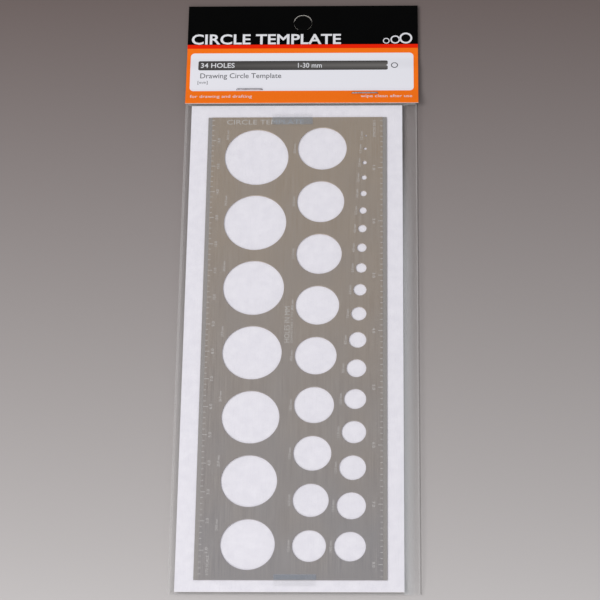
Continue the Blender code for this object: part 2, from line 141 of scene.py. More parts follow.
def spaced(start: float, end: float, count: int) -> list[float]:
    """Values from start to end, both included, in count equal steps."""
    return [mix(start, end, index / count) for index in range(count + 1)]


def new_object(name: str, mesh: bpy.types.Mesh, finishes: Optional[Sequence[bpy.types.Material]],
               smooth_angle: float = 35.0) -> bpy.types.Object:
    """Link a mesh into the scene as a finished object at the origin.

    Args:
        name: name of the piece.
        mesh: its mesh, already in place.
        finishes: its materials in slot order, or None to keep the ones it has.
        smooth_angle: edges sharper than this many degrees stay crisp.

    Returns:
        The new object.
    """
    mesh.name = name
    for index, finish in enumerate(finishes or ()):
        if index < len(mesh.materials):
            mesh.materials[index] = finish
        else:
            mesh.materials.append(finish)
    mesh.shade_smooth()
    mesh.set_sharp_from_angle(angle=math.radians(smooth_angle))
    made = bpy.data.objects.new(name, mesh)
    bpy.context.scene.collection.objects.link(made)
    return made


def mesh_from(builder: bmesh.types.BMesh, name: str) -> bpy.types.Mesh:
    """Turn a bmesh into a mesh and free it.

    Args:
        builder: bmesh that holds the shape.
        name: name of the new mesh.

    Returns:
        The new mesh.
    """
    mesh = bpy.data.meshes.new(name)
    builder.to_mesh(mesh)
    builder.free()
    return mesh


def plain_mesh(source: bpy.types.Object) -> bpy.types.Mesh:
    """Evaluate an object with its modifiers, remove it and return the plain mesh.

    Args:
        source: object whose modifiers make the shape.

    Returns:
        A mesh that holds the result.
    """
    bpy.context.view_layer.update()
    graph = bpy.context.evaluated_depsgraph_get()
    mesh = bpy.data.meshes.new_from_object(source.evaluated_get(graph))
    bpy.data.objects.remove(source)
    return mesh


def place(piece: bpy.types.Object, body: Body, slot: Slot, *nodes: str) -> bpy.types.Object:
    """Tie a finished piece to its body and hide the frame nodes it stands for.

    Args:
        piece: the finished object.
        body: body it rides on.
        slot: material slot of the record; not used.
        nodes: frame nodes that it replaces.

    Returns:
        The same object.
    """
    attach(piece, body.value)
    if nodes:
        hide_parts(*nodes)
    LOG.info("%s: %d faces on %s", piece.name, len(piece.data.polygons), body.value)
    return piece


def nodes_modifier(target: bpy.types.Object, tree: bpy.types.NodeTree,
                   inputs: dict[str, object]) -> None:
    """Give an object a Geometry Nodes modifier with its named inputs set.

    Args:
        target: object that gets the modifier.
        tree: geometry node tree.
        inputs: interface name to value.
    """
    modifier = target.modifiers.new(tree.name, "NODES")
    modifier.node_group = tree
    for item in tree.interface.items_tree:
        if item.item_type == "SOCKET" and item.in_out == "INPUT" and item.name in inputs:
            modifier[item.identifier] = inputs[item.name]


def geometry_tree(name: str, inputs: dict[str, str]
                  ) -> tuple[bpy.types.NodeTree, bpy.types.Node, bpy.types.Node]:
    """Start a geometry node tree with a geometry input, more named inputs and one output.

    Args:
        name: name of the tree.
        inputs: interface name to socket type.

    Returns:
        The tree, its input node and its output node.
    """
    tree = bpy.data.node_groups.new(name, "GeometryNodeTree")
    tree.interface.new_socket("Geometry", in_out="INPUT", socket_type="NodeSocketGeometry")
    for label, kind in inputs.items():
        tree.interface.new_socket(label, in_out="INPUT", socket_type=kind)
    tree.interface.new_socket("Geometry", in_out="OUTPUT", socket_type="NodeSocketGeometry")
    return tree, tree.nodes.new("NodeGroupInput"), tree.nodes.new("NodeGroupOutput")


def close_tree(tree: bpy.types.NodeTree, geometry: bpy.types.NodeSocket, material: bpy.types.NodeSocket,
               output: bpy.types.Node) -> None:
    """End a geometry tree in Realize Instances and Set Material.

    Args:
        tree: tree under construction.
        geometry: its finished geometry.
        material: material for all of it.
        output: the tree's output node.
    """
    real = add_node(tree, "GeometryNodeRealizeInstances", links={"Geometry": geometry})
    dressed = add_node(tree, "GeometryNodeSetMaterial",
                       links={"Geometry": real.outputs["Geometry"], "Material": material})
    tree.links.new(dressed.outputs["Geometry"], output.inputs["Geometry"])


# --------------------------------------------------------------------------- finishes


class Shade:
    """One material under construction: its tree, its Principled shader and its object coordinates."""

    def __init__(self, name: str, colour: str, roughness: float, metallic: float = 0.0) -> None:
        """Start a material.

        Args:
            name: material name.
            colour: base colour in sRGB hex.
            roughness: base roughness.
            metallic: 1 for a bare metal.
        """
        self.material = bpy.data.materials.new(name)
        self.material.use_nodes = True
        self.tree = self.material.node_tree
        self.shader = self.tree.nodes["Principled BSDF"]
        self.shader.inputs["Base Color"].default_value = linear(colour)
        self.shader.inputs["Roughness"].default_value = roughness
        self.shader.inputs["Metallic"].default_value = metallic
        self.place = add_node(self.tree, "ShaderNodeTexCoord").outputs["Object"]

    def fixed(self, **values: float) -> None:
        """Set constant shader inputs by name, with underscores for spaces."""
        for name, value in values.items():
            self.shader.inputs[name.replace("_", " ")].default_value = value

    def grain(self, size: float, stretch: Point = (1.0, 1.0, 1.0),
              detail: float = 3.0) -> bpy.types.NodeSocket:
        """Noise whose blotches are about size metres across.

        Args:
            size: blotch size in metres.
            stretch: how many times longer the blotches are along X, Y and Z.
            detail: octaves of the noise.

        Returns:
            The noise value socket.
        """
        scale = tuple(1.0 / (size * part) for part in stretch)
        mapping = add_node(self.tree, "ShaderNodeMapping", {"Scale": scale}, {"Vector": self.place})
        pattern = add_node(self.tree, "ShaderNodeTexNoise", {"Scale": 1.0, "Detail": detail},
                           {"Vector": mapping.outputs["Vector"]})
        return pattern.outputs["Fac"]

    def ramp(self, value: bpy.types.NodeSocket, low: float, high: float,
             start: float = 0.3, end: float = 0.7) -> bpy.types.NodeSocket:
        """Map a pattern onto a range of numbers, clamped at both ends.

        Args:
            value: pattern socket.
            low: result at start and below.
            high: result at end and above.
            start: pattern value that gives low.
            end: pattern value that gives high.

        Returns:
            The result socket.
        """
        limits = {"From Min": start, "From Max": end, "To Min": low, "To Max": high}
        return add_node(self.tree, "ShaderNodeMapRange", limits, {"Value": value}).outputs["Result"]

    def math(self, operation: str, first: object, second: object = 0.0) -> bpy.types.NodeSocket:
        """Add one math node.

        Args:
            operation: what it does.
            first: first number or socket.
            second: second number or socket.

        Returns:
            The result socket.
        """
        node = add_node(self.tree, "ShaderNodeMath", operation=operation)
        for index, value in enumerate((first, second)):
            if isinstance(value, bpy.types.NodeSocket):
                self.tree.links.new(value, node.inputs[index])
            else:
                node.inputs[index].default_value = value
        return node.outputs[0]

    def blend(self, share: object, low: object, high: object) -> bpy.types.NodeSocket:
        """Mix two colours.

        Args:
            share: 0 for the low colour to 1 for the high one, as a number or a socket.
            low: hex colour or socket.
            high: hex colour or socket.

        Returns:
            The colour socket.
        """
        node = add_node(self.tree, "ShaderNodeMix", data_type="RGBA")
        for index, value in ((0, share), (6, low), (7, high)):
            if isinstance(value, bpy.types.NodeSocket):
                self.tree.links.new(value, node.inputs[index])
            else:
                node.inputs[index].default_value = linear(value) if isinstance(value, str) else value
        return node.outputs[2]

    def feed(self, name: str, socket: bpy.types.NodeSocket) -> None:
        """Link a socket into the named input of the shader."""
        self.tree.links.new(socket, self.shader.inputs[name])

    def bump(self, value: bpy.types.NodeSocket, depth: float, strength: float = 1.0) -> None:
        """Raise the surface by a pattern.

        Args:
            value: pattern socket.
            depth: height of the relief in metres.
            strength: share of the relief that shows.
        """
        relief = add_node(self.tree, "ShaderNodeBump", {"Distance": depth, "Strength": strength},
                          {"Height": value})
        self.feed("Normal", relief.outputs["Normal"])

    def axes(self) -> bpy.types.Node:
        """Object coordinates split into X, Y and Z."""
        return add_node(self.tree, "ShaderNodeSeparateXYZ", links={"Vector": self.place})


@dataclass(frozen=True)
class EtchedMetal:
    """Nickel silver sheet, rolled and then photo-etched.

    It gives a satin face with faint rolling lines along the sheet, and a slight warm tone that grows
    towards the header end. The rolling lines are drawn coarser than life, so that they show.
    """

    name: str = "nickel_silver_photo_etched"
    cool: str = "a9a4a5"
    warm: str = "bcaa97"
    line: str = "cdc7bf"
    warm_from: float = -146 * MM
    warm_to: float = 72 * MM
    roughness: float = 0.42
    rolling_width: float = 0.35 * MM
    pit_size: float = 0.5 * MM

    def build(self) -> bpy.types.Material:
        """Build the material.

        Returns:
            The finished material.
        """
        shade = Shade(self.name, self.cool, self.roughness, metallic=0.85)
        along = shade.axes().outputs["Y"]
        cloud = shade.ramp(shade.grain(22 * MM, (1.0, 1.6, 1.0), 2.0), -0.12, 0.12)
        warm_tone = shade.math("ADD", shade.ramp(along, 0.0, 1.0, self.warm_from, self.warm_to), cloud)
        tone = shade.blend(warm_tone, self.cool, self.warm)
        rolling = shade.grain(self.rolling_width, (1.0, 60.0, 1.0), 4.0)
        shade.feed("Base Color", shade.blend(shade.ramp(rolling, 0.0, 0.25), tone, self.line))
        shade.feed("Roughness", shade.ramp(rolling, self.roughness - 0.06, self.roughness + 0.08))
        pits = shade.grain(self.pit_size, detail=5.0)
        shade.bump(shade.math("ADD", pits, shade.math("MULTIPLY", rolling, 0.6)), 0.006 * MM, 0.5)
        return shade.material


@dataclass(frozen=True)
class HalfEtchedMetal:
    """The same sheet where acid has eaten part of the way through it: paler, matt and finely pitted."""

    name: str
    colour: str
    pitted: str
    roughness: float = 0.62
    metallic: float = 0.7
    pit_size: float = 0.18 * MM

    def build(self) -> bpy.types.Material:
        """Build the material.

        Returns:
            The finished material.
        """
        shade = Shade(self.name, self.colour, self.roughness, self.metallic)
        pits = shade.grain(self.pit_size, detail=6.0)
        shade.feed("Base Color", shade.blend(shade.ramp(pits, 0.0, 1.0), self.pitted, self.colour))
        shade.bump(pits, 0.006 * MM, 0.6)
        return shade.material


@dataclass(frozen=True)
class WhiteBoard:
    """White art board, calendered: a smooth matt face with a faint cloudy formation and fine fibres."""

    name: str = "white_board_calendered"
    colour: str = "ebe8ee"
    shadow: str = "e4e1e8"
    roughness: float = 0.75
    fibre_width: float = 0.12 * MM

    def build(self) -> bpy.types.Material:
        """Build the material.

        Returns:
            The finished material.
        """
        shade = Shade(self.name, self.colour, self.roughness)
        cloud = shade.grain(3.5 * MM, detail=4.0)
        fibres = shade.grain(self.fibre_width, (9.0, 1.0, 1.0), 2.0)
        shade.feed("Base Color", shade.blend(shade.ramp(cloud, 0.0, 1.0), self.shadow, self.colour))
        shade.feed("Roughness", shade.ramp(fibres, self.roughness - 0.05, self.roughness + 0.08))
        shade.bump(shade.math("ADD", fibres, cloud), 0.02 * MM, 0.35)
        shade.fixed(Specular_IOR_Level=0.35)
        return shade.material


@dataclass(frozen=True)
class CutBoard:
    """Cut edge of coated board: its white fibrous core, in thin torn layers."""

    name: str = "board_die_cut_core"
    colour: str = "f2efea"
    shadow: str = "cfcac2"
    layer: float = 0.06 * MM

    def build(self) -> bpy.types.Material:
        """Build the material.

        Returns:
            The finished material.
        """
        shade = Shade(self.name, self.colour, 0.9)
        layers = shade.grain(self.layer, (12.0, 12.0, 1.0), 3.0)
        shade.feed("Base Color", shade.blend(shade.ramp(layers, 0.0, 1.0), self.shadow, self.colour))
        shade.bump(layers, 0.03 * MM, 0.6)
        return shade.material


@dataclass(frozen=True)
class ClearFilm:
    """Cast polypropylene film: nearly invisible from above, with a cool gloss where it turns away.

    Beyond mouth along Y it is crumpled by the header's staples, and its milky haze there is painted light
    that lifts the shade under the header's lower edge. Beyond side along X it whitens a little past the
    card's edge, more so away from the mouth: a painted highlight on the film's bend, which also lifts the
    card's cast shadow on that side.
    """

    name: str
    mouth: float
    side: float
    mouth_painted_light: float = 0.16
    side_painted_light: float = 0.11
    side_light_run: float = 5.0 * MM
    side_light_end: float = 70 * MM
    side_light_full: float = 10 * MM
    colour: str = "f4f6f8"
    clear: float = 0.012
    edge_on: float = 0.55
    scuff: float = 0.02
    roughness: float = 0.12
    ripple: float = 0.03 * MM

    def build(self) -> bpy.types.Material:
        """Build the material.

        Returns:
            The finished material.
        """
        shade = Shade(self.name, self.colour, self.roughness)
        facing = add_node(shade.tree, "ShaderNodeLayerWeight", {"Blend": 0.35}).outputs["Facing"]
        turned = shade.math("MULTIPLY", shade.math("POWER", facing, 3.0), self.edge_on)
        marks = shade.ramp(shade.grain(0.5 * MM, (1.0, 14.0, 1.0), 4.0), 0.0, self.scuff, 0.5, 0.8)
        axes = shade.axes()
        # Painted light: past the mouth a milky haze lifts the shade under the header's lower edge.
        under_header = shade.math("GREATER_THAN", axes.outputs["Y"], self.mouth)
        under_header_painted_light = shade.math("MULTIPLY", under_header, self.mouth_painted_light)
        # Painted highlight past the card's right edge, strongest towards the foot: it also lifts the card's
        # cast shadow on that side.
        beyond = shade.math("GREATER_THAN", axes.outputs["X"], self.side)
        fading = shade.ramp(axes.outputs["X"], self.side_painted_light, 0.0, self.side, self.side + self.side_light_run)
        side_light_share = shade.ramp(axes.outputs["Y"], 1.0, 0.0, self.side_light_full, self.side_light_end)
        side_painted_highlight = shade.math("MULTIPLY", shade.math("MULTIPLY", beyond, fading), side_light_share)
        haze = shade.math("ADD", shade.math("ADD", turned, marks), shade.math("ADD", under_header_painted_light, side_painted_highlight))
        shade.feed("Alpha", shade.math("ADD", haze, self.clear))
        ripples = shade.grain(9 * MM, (1.0, 2.5, 1.0), 2.0)
        shade.feed("Roughness", shade.ramp(ripples, self.roughness - 0.04, self.roughness + 0.06))
        shade.bump(ripples, self.ripple, 1.0)
        shade.fixed(IOR=1.49, Specular_IOR_Level=1.0)
        return shade.material


@dataclass(frozen=True)
class WeldedFilm:
    """Two films fused by a hot bar: fine parallel beads, pale with painted highlight where they catch the
    light, and a dark rim.

    The rim is painted shadow of the film's cut edge, and starts at a given place along X. A side turned to
    the light casts none, so there it starts past the pack.
    The beads are drawn coarser than life, so that they show. unit_band is the wave pattern's scale at
    which one band is one unit wide.
    """

    name: str
    edge_shadow_from: float
    colour: str = "d6d4d3"
    rim: str = "2c2a29"
    haze: float = 0.04
    bead_haze: float = 0.13
    bead_pitch: float = 0.6 * MM
    unit_band: float = 0.314

    def build(self) -> bpy.types.Material:
        """Build the material.

        Returns:
            The finished material.
        """
        shade = Shade(self.name, self.colour, 0.3)
        # Painted light: the pale colour is the beads' painted highlight, and past the given place along X
        # the rim colour is painted shadow of the cut edge.
        outer = shade.math("GREATER_THAN", shade.axes().outputs["X"], self.edge_shadow_from)
        shade.feed("Base Color", shade.blend(outer, self.colour, self.rim))
        mapping = add_node(shade.tree, "ShaderNodeMapping", {"Scale": (1 / self.bead_pitch,) * 3},
                           {"Vector": shade.place})
        wave = add_node(shade.tree, "ShaderNodeTexWave",
                        {"Scale": self.unit_band, "Distortion": 0.3},
                        {"Vector": mapping.outputs["Vector"]}, bands_direction="X")
        beads = wave.outputs["Fac"]
        shade.feed("Alpha", shade.ramp(beads, self.haze, self.bead_haze, 0.2, 0.9))
        shade.bump(beads, 0.02 * MM, 0.6)
        shade.fixed(IOR=1.49, Specular_IOR_Level=0.6)
        return shade.material


@dataclass(frozen=True)
class ClearTape:
    """Acetate tape with acrylic glue: it all but vanishes on board, and wets metal under a painted cool sky
    reflection.

    Patches of fine trapped air show as paler specks.
    """

    name: str
    colour: str
    tint: float
    bubble: float = 0.8 * MM

    def build(self) -> bpy.types.Material:
        """Build the material.

        Returns:
            The finished material.
        """
        shade = Shade(self.name, self.colour, 0.22)
        cells = add_node(shade.tree, "ShaderNodeTexVoronoi", {"Scale": 1 / self.bubble},
                         {"Vector": shade.place}).outputs["Distance"]
        air = shade.ramp(cells, 0.08, 0.0, 0.08, 0.2)
        patches = shade.ramp(shade.grain(2.2 * MM, detail=3.0), 0.0, 1.0, 0.5, 0.62)
        glue = shade.math("MULTIPLY", air, patches)
        shade.feed("Alpha", shade.math("ADD", glue, self.tint))
        shade.bump(shade.grain(1.4 * MM, (1.0, 4.0, 1.0)), 0.02 * MM, 0.8)
        shade.fixed(IOR=1.48, Specular_IOR_Level=0.6)
        return shade.material


@dataclass(frozen=True)
class ZincWire:
    """Drawn steel wire, zinc plated: bright, with draw marks along it and dull patches."""

    name: str = "steel_wire_zinc_plated"
    colour: str = "b9bbc0"
    dull: str = "8d8f95"
    roughness: float = 0.3
    draw_mark: float = 0.08 * MM
    patch: float = 0.9 * MM

    def build(self) -> bpy.types.Material:
        """Build the material.

        Returns:
            The finished material.
        """
        shade = Shade(self.name, self.colour, self.roughness, metallic=1.0)
        draw = shade.grain(self.draw_mark, (25.0, 1.0, 1.0), 3.0)
        spots = shade.grain(self.patch, detail=4.0)
        shade.feed("Base Color", shade.blend(shade.ramp(spots, 0.0, 1.0), self.dull, self.colour))
        shade.feed("Roughness", shade.ramp(draw, self.roughness - 0.08, self.roughness + 0.14))
        shade.bump(draw, 0.01 * MM, 0.6)
        return shade.material


@dataclass(frozen=True)
class PrintInk:
    """Flat offset ink with a soft mottle, under a thin gloss varnish."""

    name: str
    colour: str
    mottle: str
    roughness: float = 0.38
    cloud_size: float = 0.45 * MM
    varnish_grain: float = 0.3 * MM

    def build(self) -> bpy.types.Material:
        """Build the material.

        Returns:
            The finished material.
        """
        shade = Shade(self.name, self.colour, self.roughness)
        cloud = shade.grain(self.cloud_size, detail=3.0)
        shade.feed("Base Color", shade.blend(shade.ramp(cloud, 0.0, 1.0), self.mottle, self.colour))
        shade.bump(shade.grain(self.varnish_grain), 0.004 * MM, 0.4)
        shade.fixed(Specular_IOR_Level=0.05)
        return shade.material


@dataclass(frozen=True)
class HeaderPrint:
    """Offset print under gloss varnish: a black band, a red line, an orange ground and a white panel.

    The inks are flat, with a soft mottle in the orange and a faint grain in the varnish. Every place is
    measured in metres from the header's lower left corner.
    """

    name: str
    left: float
    bottom: float
    width: float
    with_panel: bool = True
    stripe_low: float = 32.3 * MM
    stripe_high: float = 34.5 * MM
    panel_left: float = 1.8 * MM
    panel_right: float = 2.2 * MM
    panel_low: float = 7.7 * MM
    panel_high: float = 29.6 * MM
    panel_corner: float = 2.0 * MM
    bar_left: float = 5.6 * MM
    bar_right: float = 96.4 * MM
    bar_low: float = 19.5 * MM
    bar_high: float = 25.1 * MM
    bar_corner: float = 0.8 * MM
    notch: float = 0.7 * MM
    black: str = "020202"
    red: str = "ee2404"
    orange: str = "ff791b"
    orange_mottle: str = "f97316"
    white: str = "ebeaf0"
    bar_dark: str = "403e3d"
    bar_pale: str = "767371"

    def above(self, shade: Shade, y: bpy.types.NodeSocket, height: float) -> bpy.types.NodeSocket:
        """Mask of 1 where a point is higher on the header than the given height, else 0."""
        return shade.math("GREATER_THAN", y, self.bottom + height)

    def rounded(self, shade: Shade, x: bpy.types.NodeSocket, y: bpy.types.NodeSocket,
                box: tuple[float, float, float, float], corner: float) -> bpy.types.NodeSocket:
        """Mask of 1 inside a rectangle with round corners, else 0.

        Args:
            shade: material under construction.
            x: X coordinate socket.
            y: Y coordinate socket.
            box: left, right, low and high edges from the header's corner.
            corner: corner radius.

        Returns:
            The mask socket.
        """
        left, right, low, high = box
        reach = []
        for socket, start, near, far in ((x, self.left, left, right), (y, self.bottom, low, high)):
            offset = shade.math("SUBTRACT", socket, start + (near + far) / 2)
            beyond = shade.math("SUBTRACT", shade.math("ABSOLUTE", offset), (far - near) / 2 - corner)
            reach.append(shade.math("MAXIMUM", beyond, 0.0))
        squares = [shade.math("MULTIPLY", part, part) for part in reach]
        distance = shade.math("SQRT", shade.math("ADD", *squares))
        return shade.math("LESS_THAN", distance, corner)

    def with_bar(self, shade: Shade, x: bpy.types.NodeSocket, y: bpy.types.NodeSocket,
                 ground: bpy.types.NodeSocket) -> bpy.types.NodeSocket:
        """Add the white panel and the grey bar, which is notched at its right end.

        Args:
            shade: material under construction.
            x: X coordinate socket.
            y: Y coordinate socket.
            ground: colour outside the panel.

        Returns:
            The colour socket.
        """
        box = (self.panel_left, self.width - self.panel_right, self.panel_low, self.panel_high)
        panel = self.rounded(shade, x, y, box, self.panel_corner)
        colour = shade.blend(panel, ground, self.white)
        box = (self.bar_left, self.bar_right, self.bar_low, self.bar_high)
        bar = self.rounded(shade, x, y, box, self.bar_corner)
        middle = self.bottom + (self.bar_low + self.bar_high) / 2
        away = shade.math("ABSOLUTE", shade.math("SUBTRACT", y, middle))
        fade = shade.ramp(away, 1.0, 0.0, 0.0, (self.bar_high - self.bar_low) / 2)
        across = shade.ramp(x, 0.25, 1.0, self.left + self.bar_left, self.left + self.bar_right)
        sheen = shade.blend(shade.math("MULTIPLY", fade, across), self.bar_dark, self.bar_pale)
        notch = shade.math("SUBTRACT", x, self.left + self.bar_right)
        bite = shade.math("ADD", shade.math("ABSOLUTE", notch), away)
        bar = shade.math("MULTIPLY", bar, shade.math("GREATER_THAN", bite, self.notch))
        return shade.blend(bar, colour, sheen)

    def build(self) -> bpy.types.Material:
        """Build the material.

        Returns:
            The finished material.
        """
        shade = Shade(self.name, self.orange, 0.36)
        axes = shade.axes()
        x, y = axes.outputs["X"], axes.outputs["Y"]
        cloud = shade.ramp(shade.grain(0.5 * MM, detail=3.0), 0.0, 1.0)
        orange = shade.blend(cloud, self.orange_mottle, self.orange)
        colour = shade.blend(self.above(shade, y, self.stripe_low), orange, self.red)
        colour = shade.blend(self.above(shade, y, self.stripe_high), colour, self.black)
        if self.with_panel:
            colour = self.with_bar(shade, x, y, colour)
        shade.feed("Base Color", colour)
        shade.feed("Roughness", shade.ramp(shade.grain(6 * MM), 0.30, 0.42))
        shade.bump(shade.grain(0.4 * MM, detail=4.0), 0.006 * MM, 0.5)
        shade.fixed(Specular_IOR_Level=0.05)
        return shade.material


@dataclass(frozen=True)
class FloorPaper:
    """Seamless paper backdrop: pale grey, with painted shade darkening it towards the far side as the light
    falls off.
    """

    name: str = "backdrop_paper"
    near: str = "c8c4c3"
    far: str = "695c59"
    reach: float = 0.17

    def build(self) -> bpy.types.Material:
        """Build the material.

        Returns:
            The finished material.
        """
        shade = Shade(self.name, self.near, 0.9)
        along = shade.axes().outputs["Y"]
        # Painted shade: the colour runs from near to far along Y, as the light falls off towards the back.
        share = shade.math("POWER", shade.ramp(along, 0.0, 1.0, -self.reach, self.reach), 0.7)
        shade.feed("Base Color", shade.blend(share, self.near, self.far))
        shade.bump(shade.grain(0.6 * MM, detail=3.0), 0.01 * MM, 0.3)
        return shade.material


# --------------------------------------------------------------------------- the pack's layers


@dataclass
class Layers:
    """Heights and places shared by the layers, read from the frame's nodes."""

    gap: float = 0.3 * MM
    film: float = 0.05 * MM
    film_solid: float = 0.1 * MM
    mouth_run: float = 12.0 * MM
    panel_run: float = 8.0 * MM
    droop_run: float = 14.0 * MM
    travel: float = 5.0 * MM

    def __post_init__(self) -> None:
        """Read the boxes of the nodes and work out the heights from them."""
        self.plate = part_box("template_plate")
        self.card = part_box("backing_card")
        self.front_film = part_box("sleeve_front_film")
        self.weld_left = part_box("sleeve_weld_left")
        self.weld_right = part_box("sleeve_weld_right")
        self.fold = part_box("sleeve_bottom_fold")
        self.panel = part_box("header_front_panel")
        self.back_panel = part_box("header_back_panel")
        self.header_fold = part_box("header_fold")
        self.board = self.back_panel[1].z - self.back_panel[0].z
        self.back_flat = self.card[0].z - self.gap - self.film_solid / 2
        self.front_flat = self.front_film[1].z - self.film_solid / 2
        self.mouth_flat = self.back_flat + self.film_solid + self.gap
        self.foot_flat = self.card[1].z + self.gap + self.film_solid / 2
        self.mouth_start = self.plate[1].y + self.travel + self.gap
        self.mouth_end = self.mouth_start + self.mouth_run
        self.panel_start = self.front_film[1].y + self.gap
        self.panel_end = self.panel_start + self.panel_run
        self.back_middle = (self.back_panel[0].z + self.back_panel[1].z) / 2
        self.panel_closed = self.back_middle + self.board + self.gap

    def back_height(self, y: float) -> float:
        """Middle of the back film at y."""
        droop = smoothstep(y, self.card[0].y, self.card[0].y + self.droop_run)
        return mix(self.film_solid / 2, self.back_flat, droop)

    def front_height(self, y: float) -> float:
        """Middle of the front film at y.

        Args:
            y: place along the pack.

        Returns:
            Height in metres.
        """
        rise = smoothstep(y, self.card[0].y, self.plate[0].y - self.gap)
        fall = smoothstep(y, self.mouth_start, self.mouth_end)
        return mix(mix(self.foot_flat, self.front_flat, rise), self.mouth_flat, fall)

    def panel_height(self, y: float) -> float:
        """Middle of the header's front panel at y."""
        over = self.front_height(y) + (self.film_solid + self.board) / 2 + self.gap
        return mix(over, self.panel_closed, smoothstep(y, self.panel_start, self.panel_end))


def height_on(profile: Sequence[tuple[float, float]], y: float) -> float:
    """Height of a faceted surface at y.

    Args:
        profile: (y, z) points of the surface, y rising.
        y: place along it.

    Returns:
        Height in metres.
    """
    for (near, low), (far, high) in zip(profile, profile[1:]):
        if y <= far:
            return mix(low, high, (y - near) / (far - near))
    return profile[-1][1]


def drape(mesh: bpy.types.Mesh, profile: Sequence[tuple[float, float]]) -> None:
    """Lay a flat mesh on a faceted surface, cutting it first where the surface bends.

    Args:
        mesh: mesh lying flat in place, with Z as height over the surface.
        profile: (y, z) points of the surface, y rising.
    """
    builder = bmesh.new()
    builder.from_mesh(mesh)
    places = [vertex.co.y for vertex in builder.verts]
    for y, _ in profile:
        if min(places) < y < max(places):
            geometry = list(builder.verts) + list(builder.edges) + list(builder.faces)
            bmesh.ops.bisect_plane(builder, geom=geometry, dist=1e-8, plane_co=(0.0, y, 0.0),
                                   plane_no=(0.0, 1.0, 0.0))
    for vertex in builder.verts:
        vertex.co.z += height_on(profile, vertex.co.y)
    builder.to_mesh(mesh)
    builder.free()


@dataclass(frozen=True)
class Lettering:
    """Plain lettering, sized by its height and, where length is given, stretched to that length.

    weight swells the strokes by a share of the type size.
    """

    text: str
    height: float
    length: float = 0.0
    weight: float = 0.0

    def flat_mesh(self, corner: tuple[float, float], turn: float = 0.0,
                  from_right: bool = False) -> bpy.types.Mesh:
        """Make the letters flat at Z 0, with their lower left corner at a point.

        Args:
            corner: where the lower left corner goes, or the lower right one.
            turn: turn about Z in degrees.
            from_right: place by the lower right corner instead.

        Returns:
            A mesh of every letter.
        """
        curve = bpy.data.curves.new("letters", "FONT")
        curve.body = self.text
        curve.size = 1.0
        curve.offset = self.weight
        curve.resolution_u = 3
        carrier = bpy.data.objects.new("letters", curve)
        bpy.context.scene.collection.objects.link(carrier)
        mesh = plain_mesh(carrier)
        xs = [vertex.co.x for vertex in mesh.vertices]
        ys = [vertex.co.y for vertex in mesh.vertices]
        scale_y = self.height / (max(ys) - min(ys))
        scale_x = self.length / (max(xs) - min(xs)) if self.length else scale_y
        anchor = max(xs) if from_right else min(xs)
        spin = Matrix.Rotation(math.radians(turn), 4, "Z")
        move = Matrix.Translation((corner[0], corner[1], 0.0)) @ spin
        size = Matrix.Diagonal((scale_x, scale_y, 0.0, 1.0))
        mesh.transform(move @ size @ Matrix.Translation((-anchor, -min(ys), 0.0)))
        return mesh


def joined(name: str, meshes: Sequence[bpy.types.Mesh], thickness: float) -> bpy.types.Mesh:
    """Join flat meshes, merge their doubles and give them a thickness upwards.

    Args:
        name: name of the new mesh.
        meshes: flat meshes at Z 0.
        thickness: height of the raised marks.

    Returns:
        One closed mesh per mark, all in one mesh.
    """
    builder = bmesh.new()
    for mesh in meshes:
        builder.from_mesh(mesh)
        bpy.data.meshes.remove(mesh)
    bmesh.ops.remove_doubles(builder, verts=builder.verts, dist=LETTER_MERGE)
    bmesh.ops.dissolve_degenerate(builder, edges=builder.edges, dist=LETTER_MERGE)
    builder.normal_update()
    flats = list(builder.faces)
    for face in flats:
        if face.normal.z < 0.0:
            face.normal_flip()
    loops = [edge.link_loops[0] for edge in builder.edges if edge.is_boundary]
    rims = [(loop.vert, loop.link_loop_next.vert) for loop in loops]
    up = Vector((0.0, 0.0, thickness))
    foot = [vertex for vertex in builder.verts if vertex.link_faces]
    raised = {vertex: builder.verts.new(vertex.co + up) for vertex in foot}
    for face in flats:
        builder.faces.new([raised[vertex] for vertex in face.verts])
        face.normal_flip()
    for first, second in rims:
        builder.faces.new((first, second, raised[second], raised[first]))
    return mesh_from(builder, name)


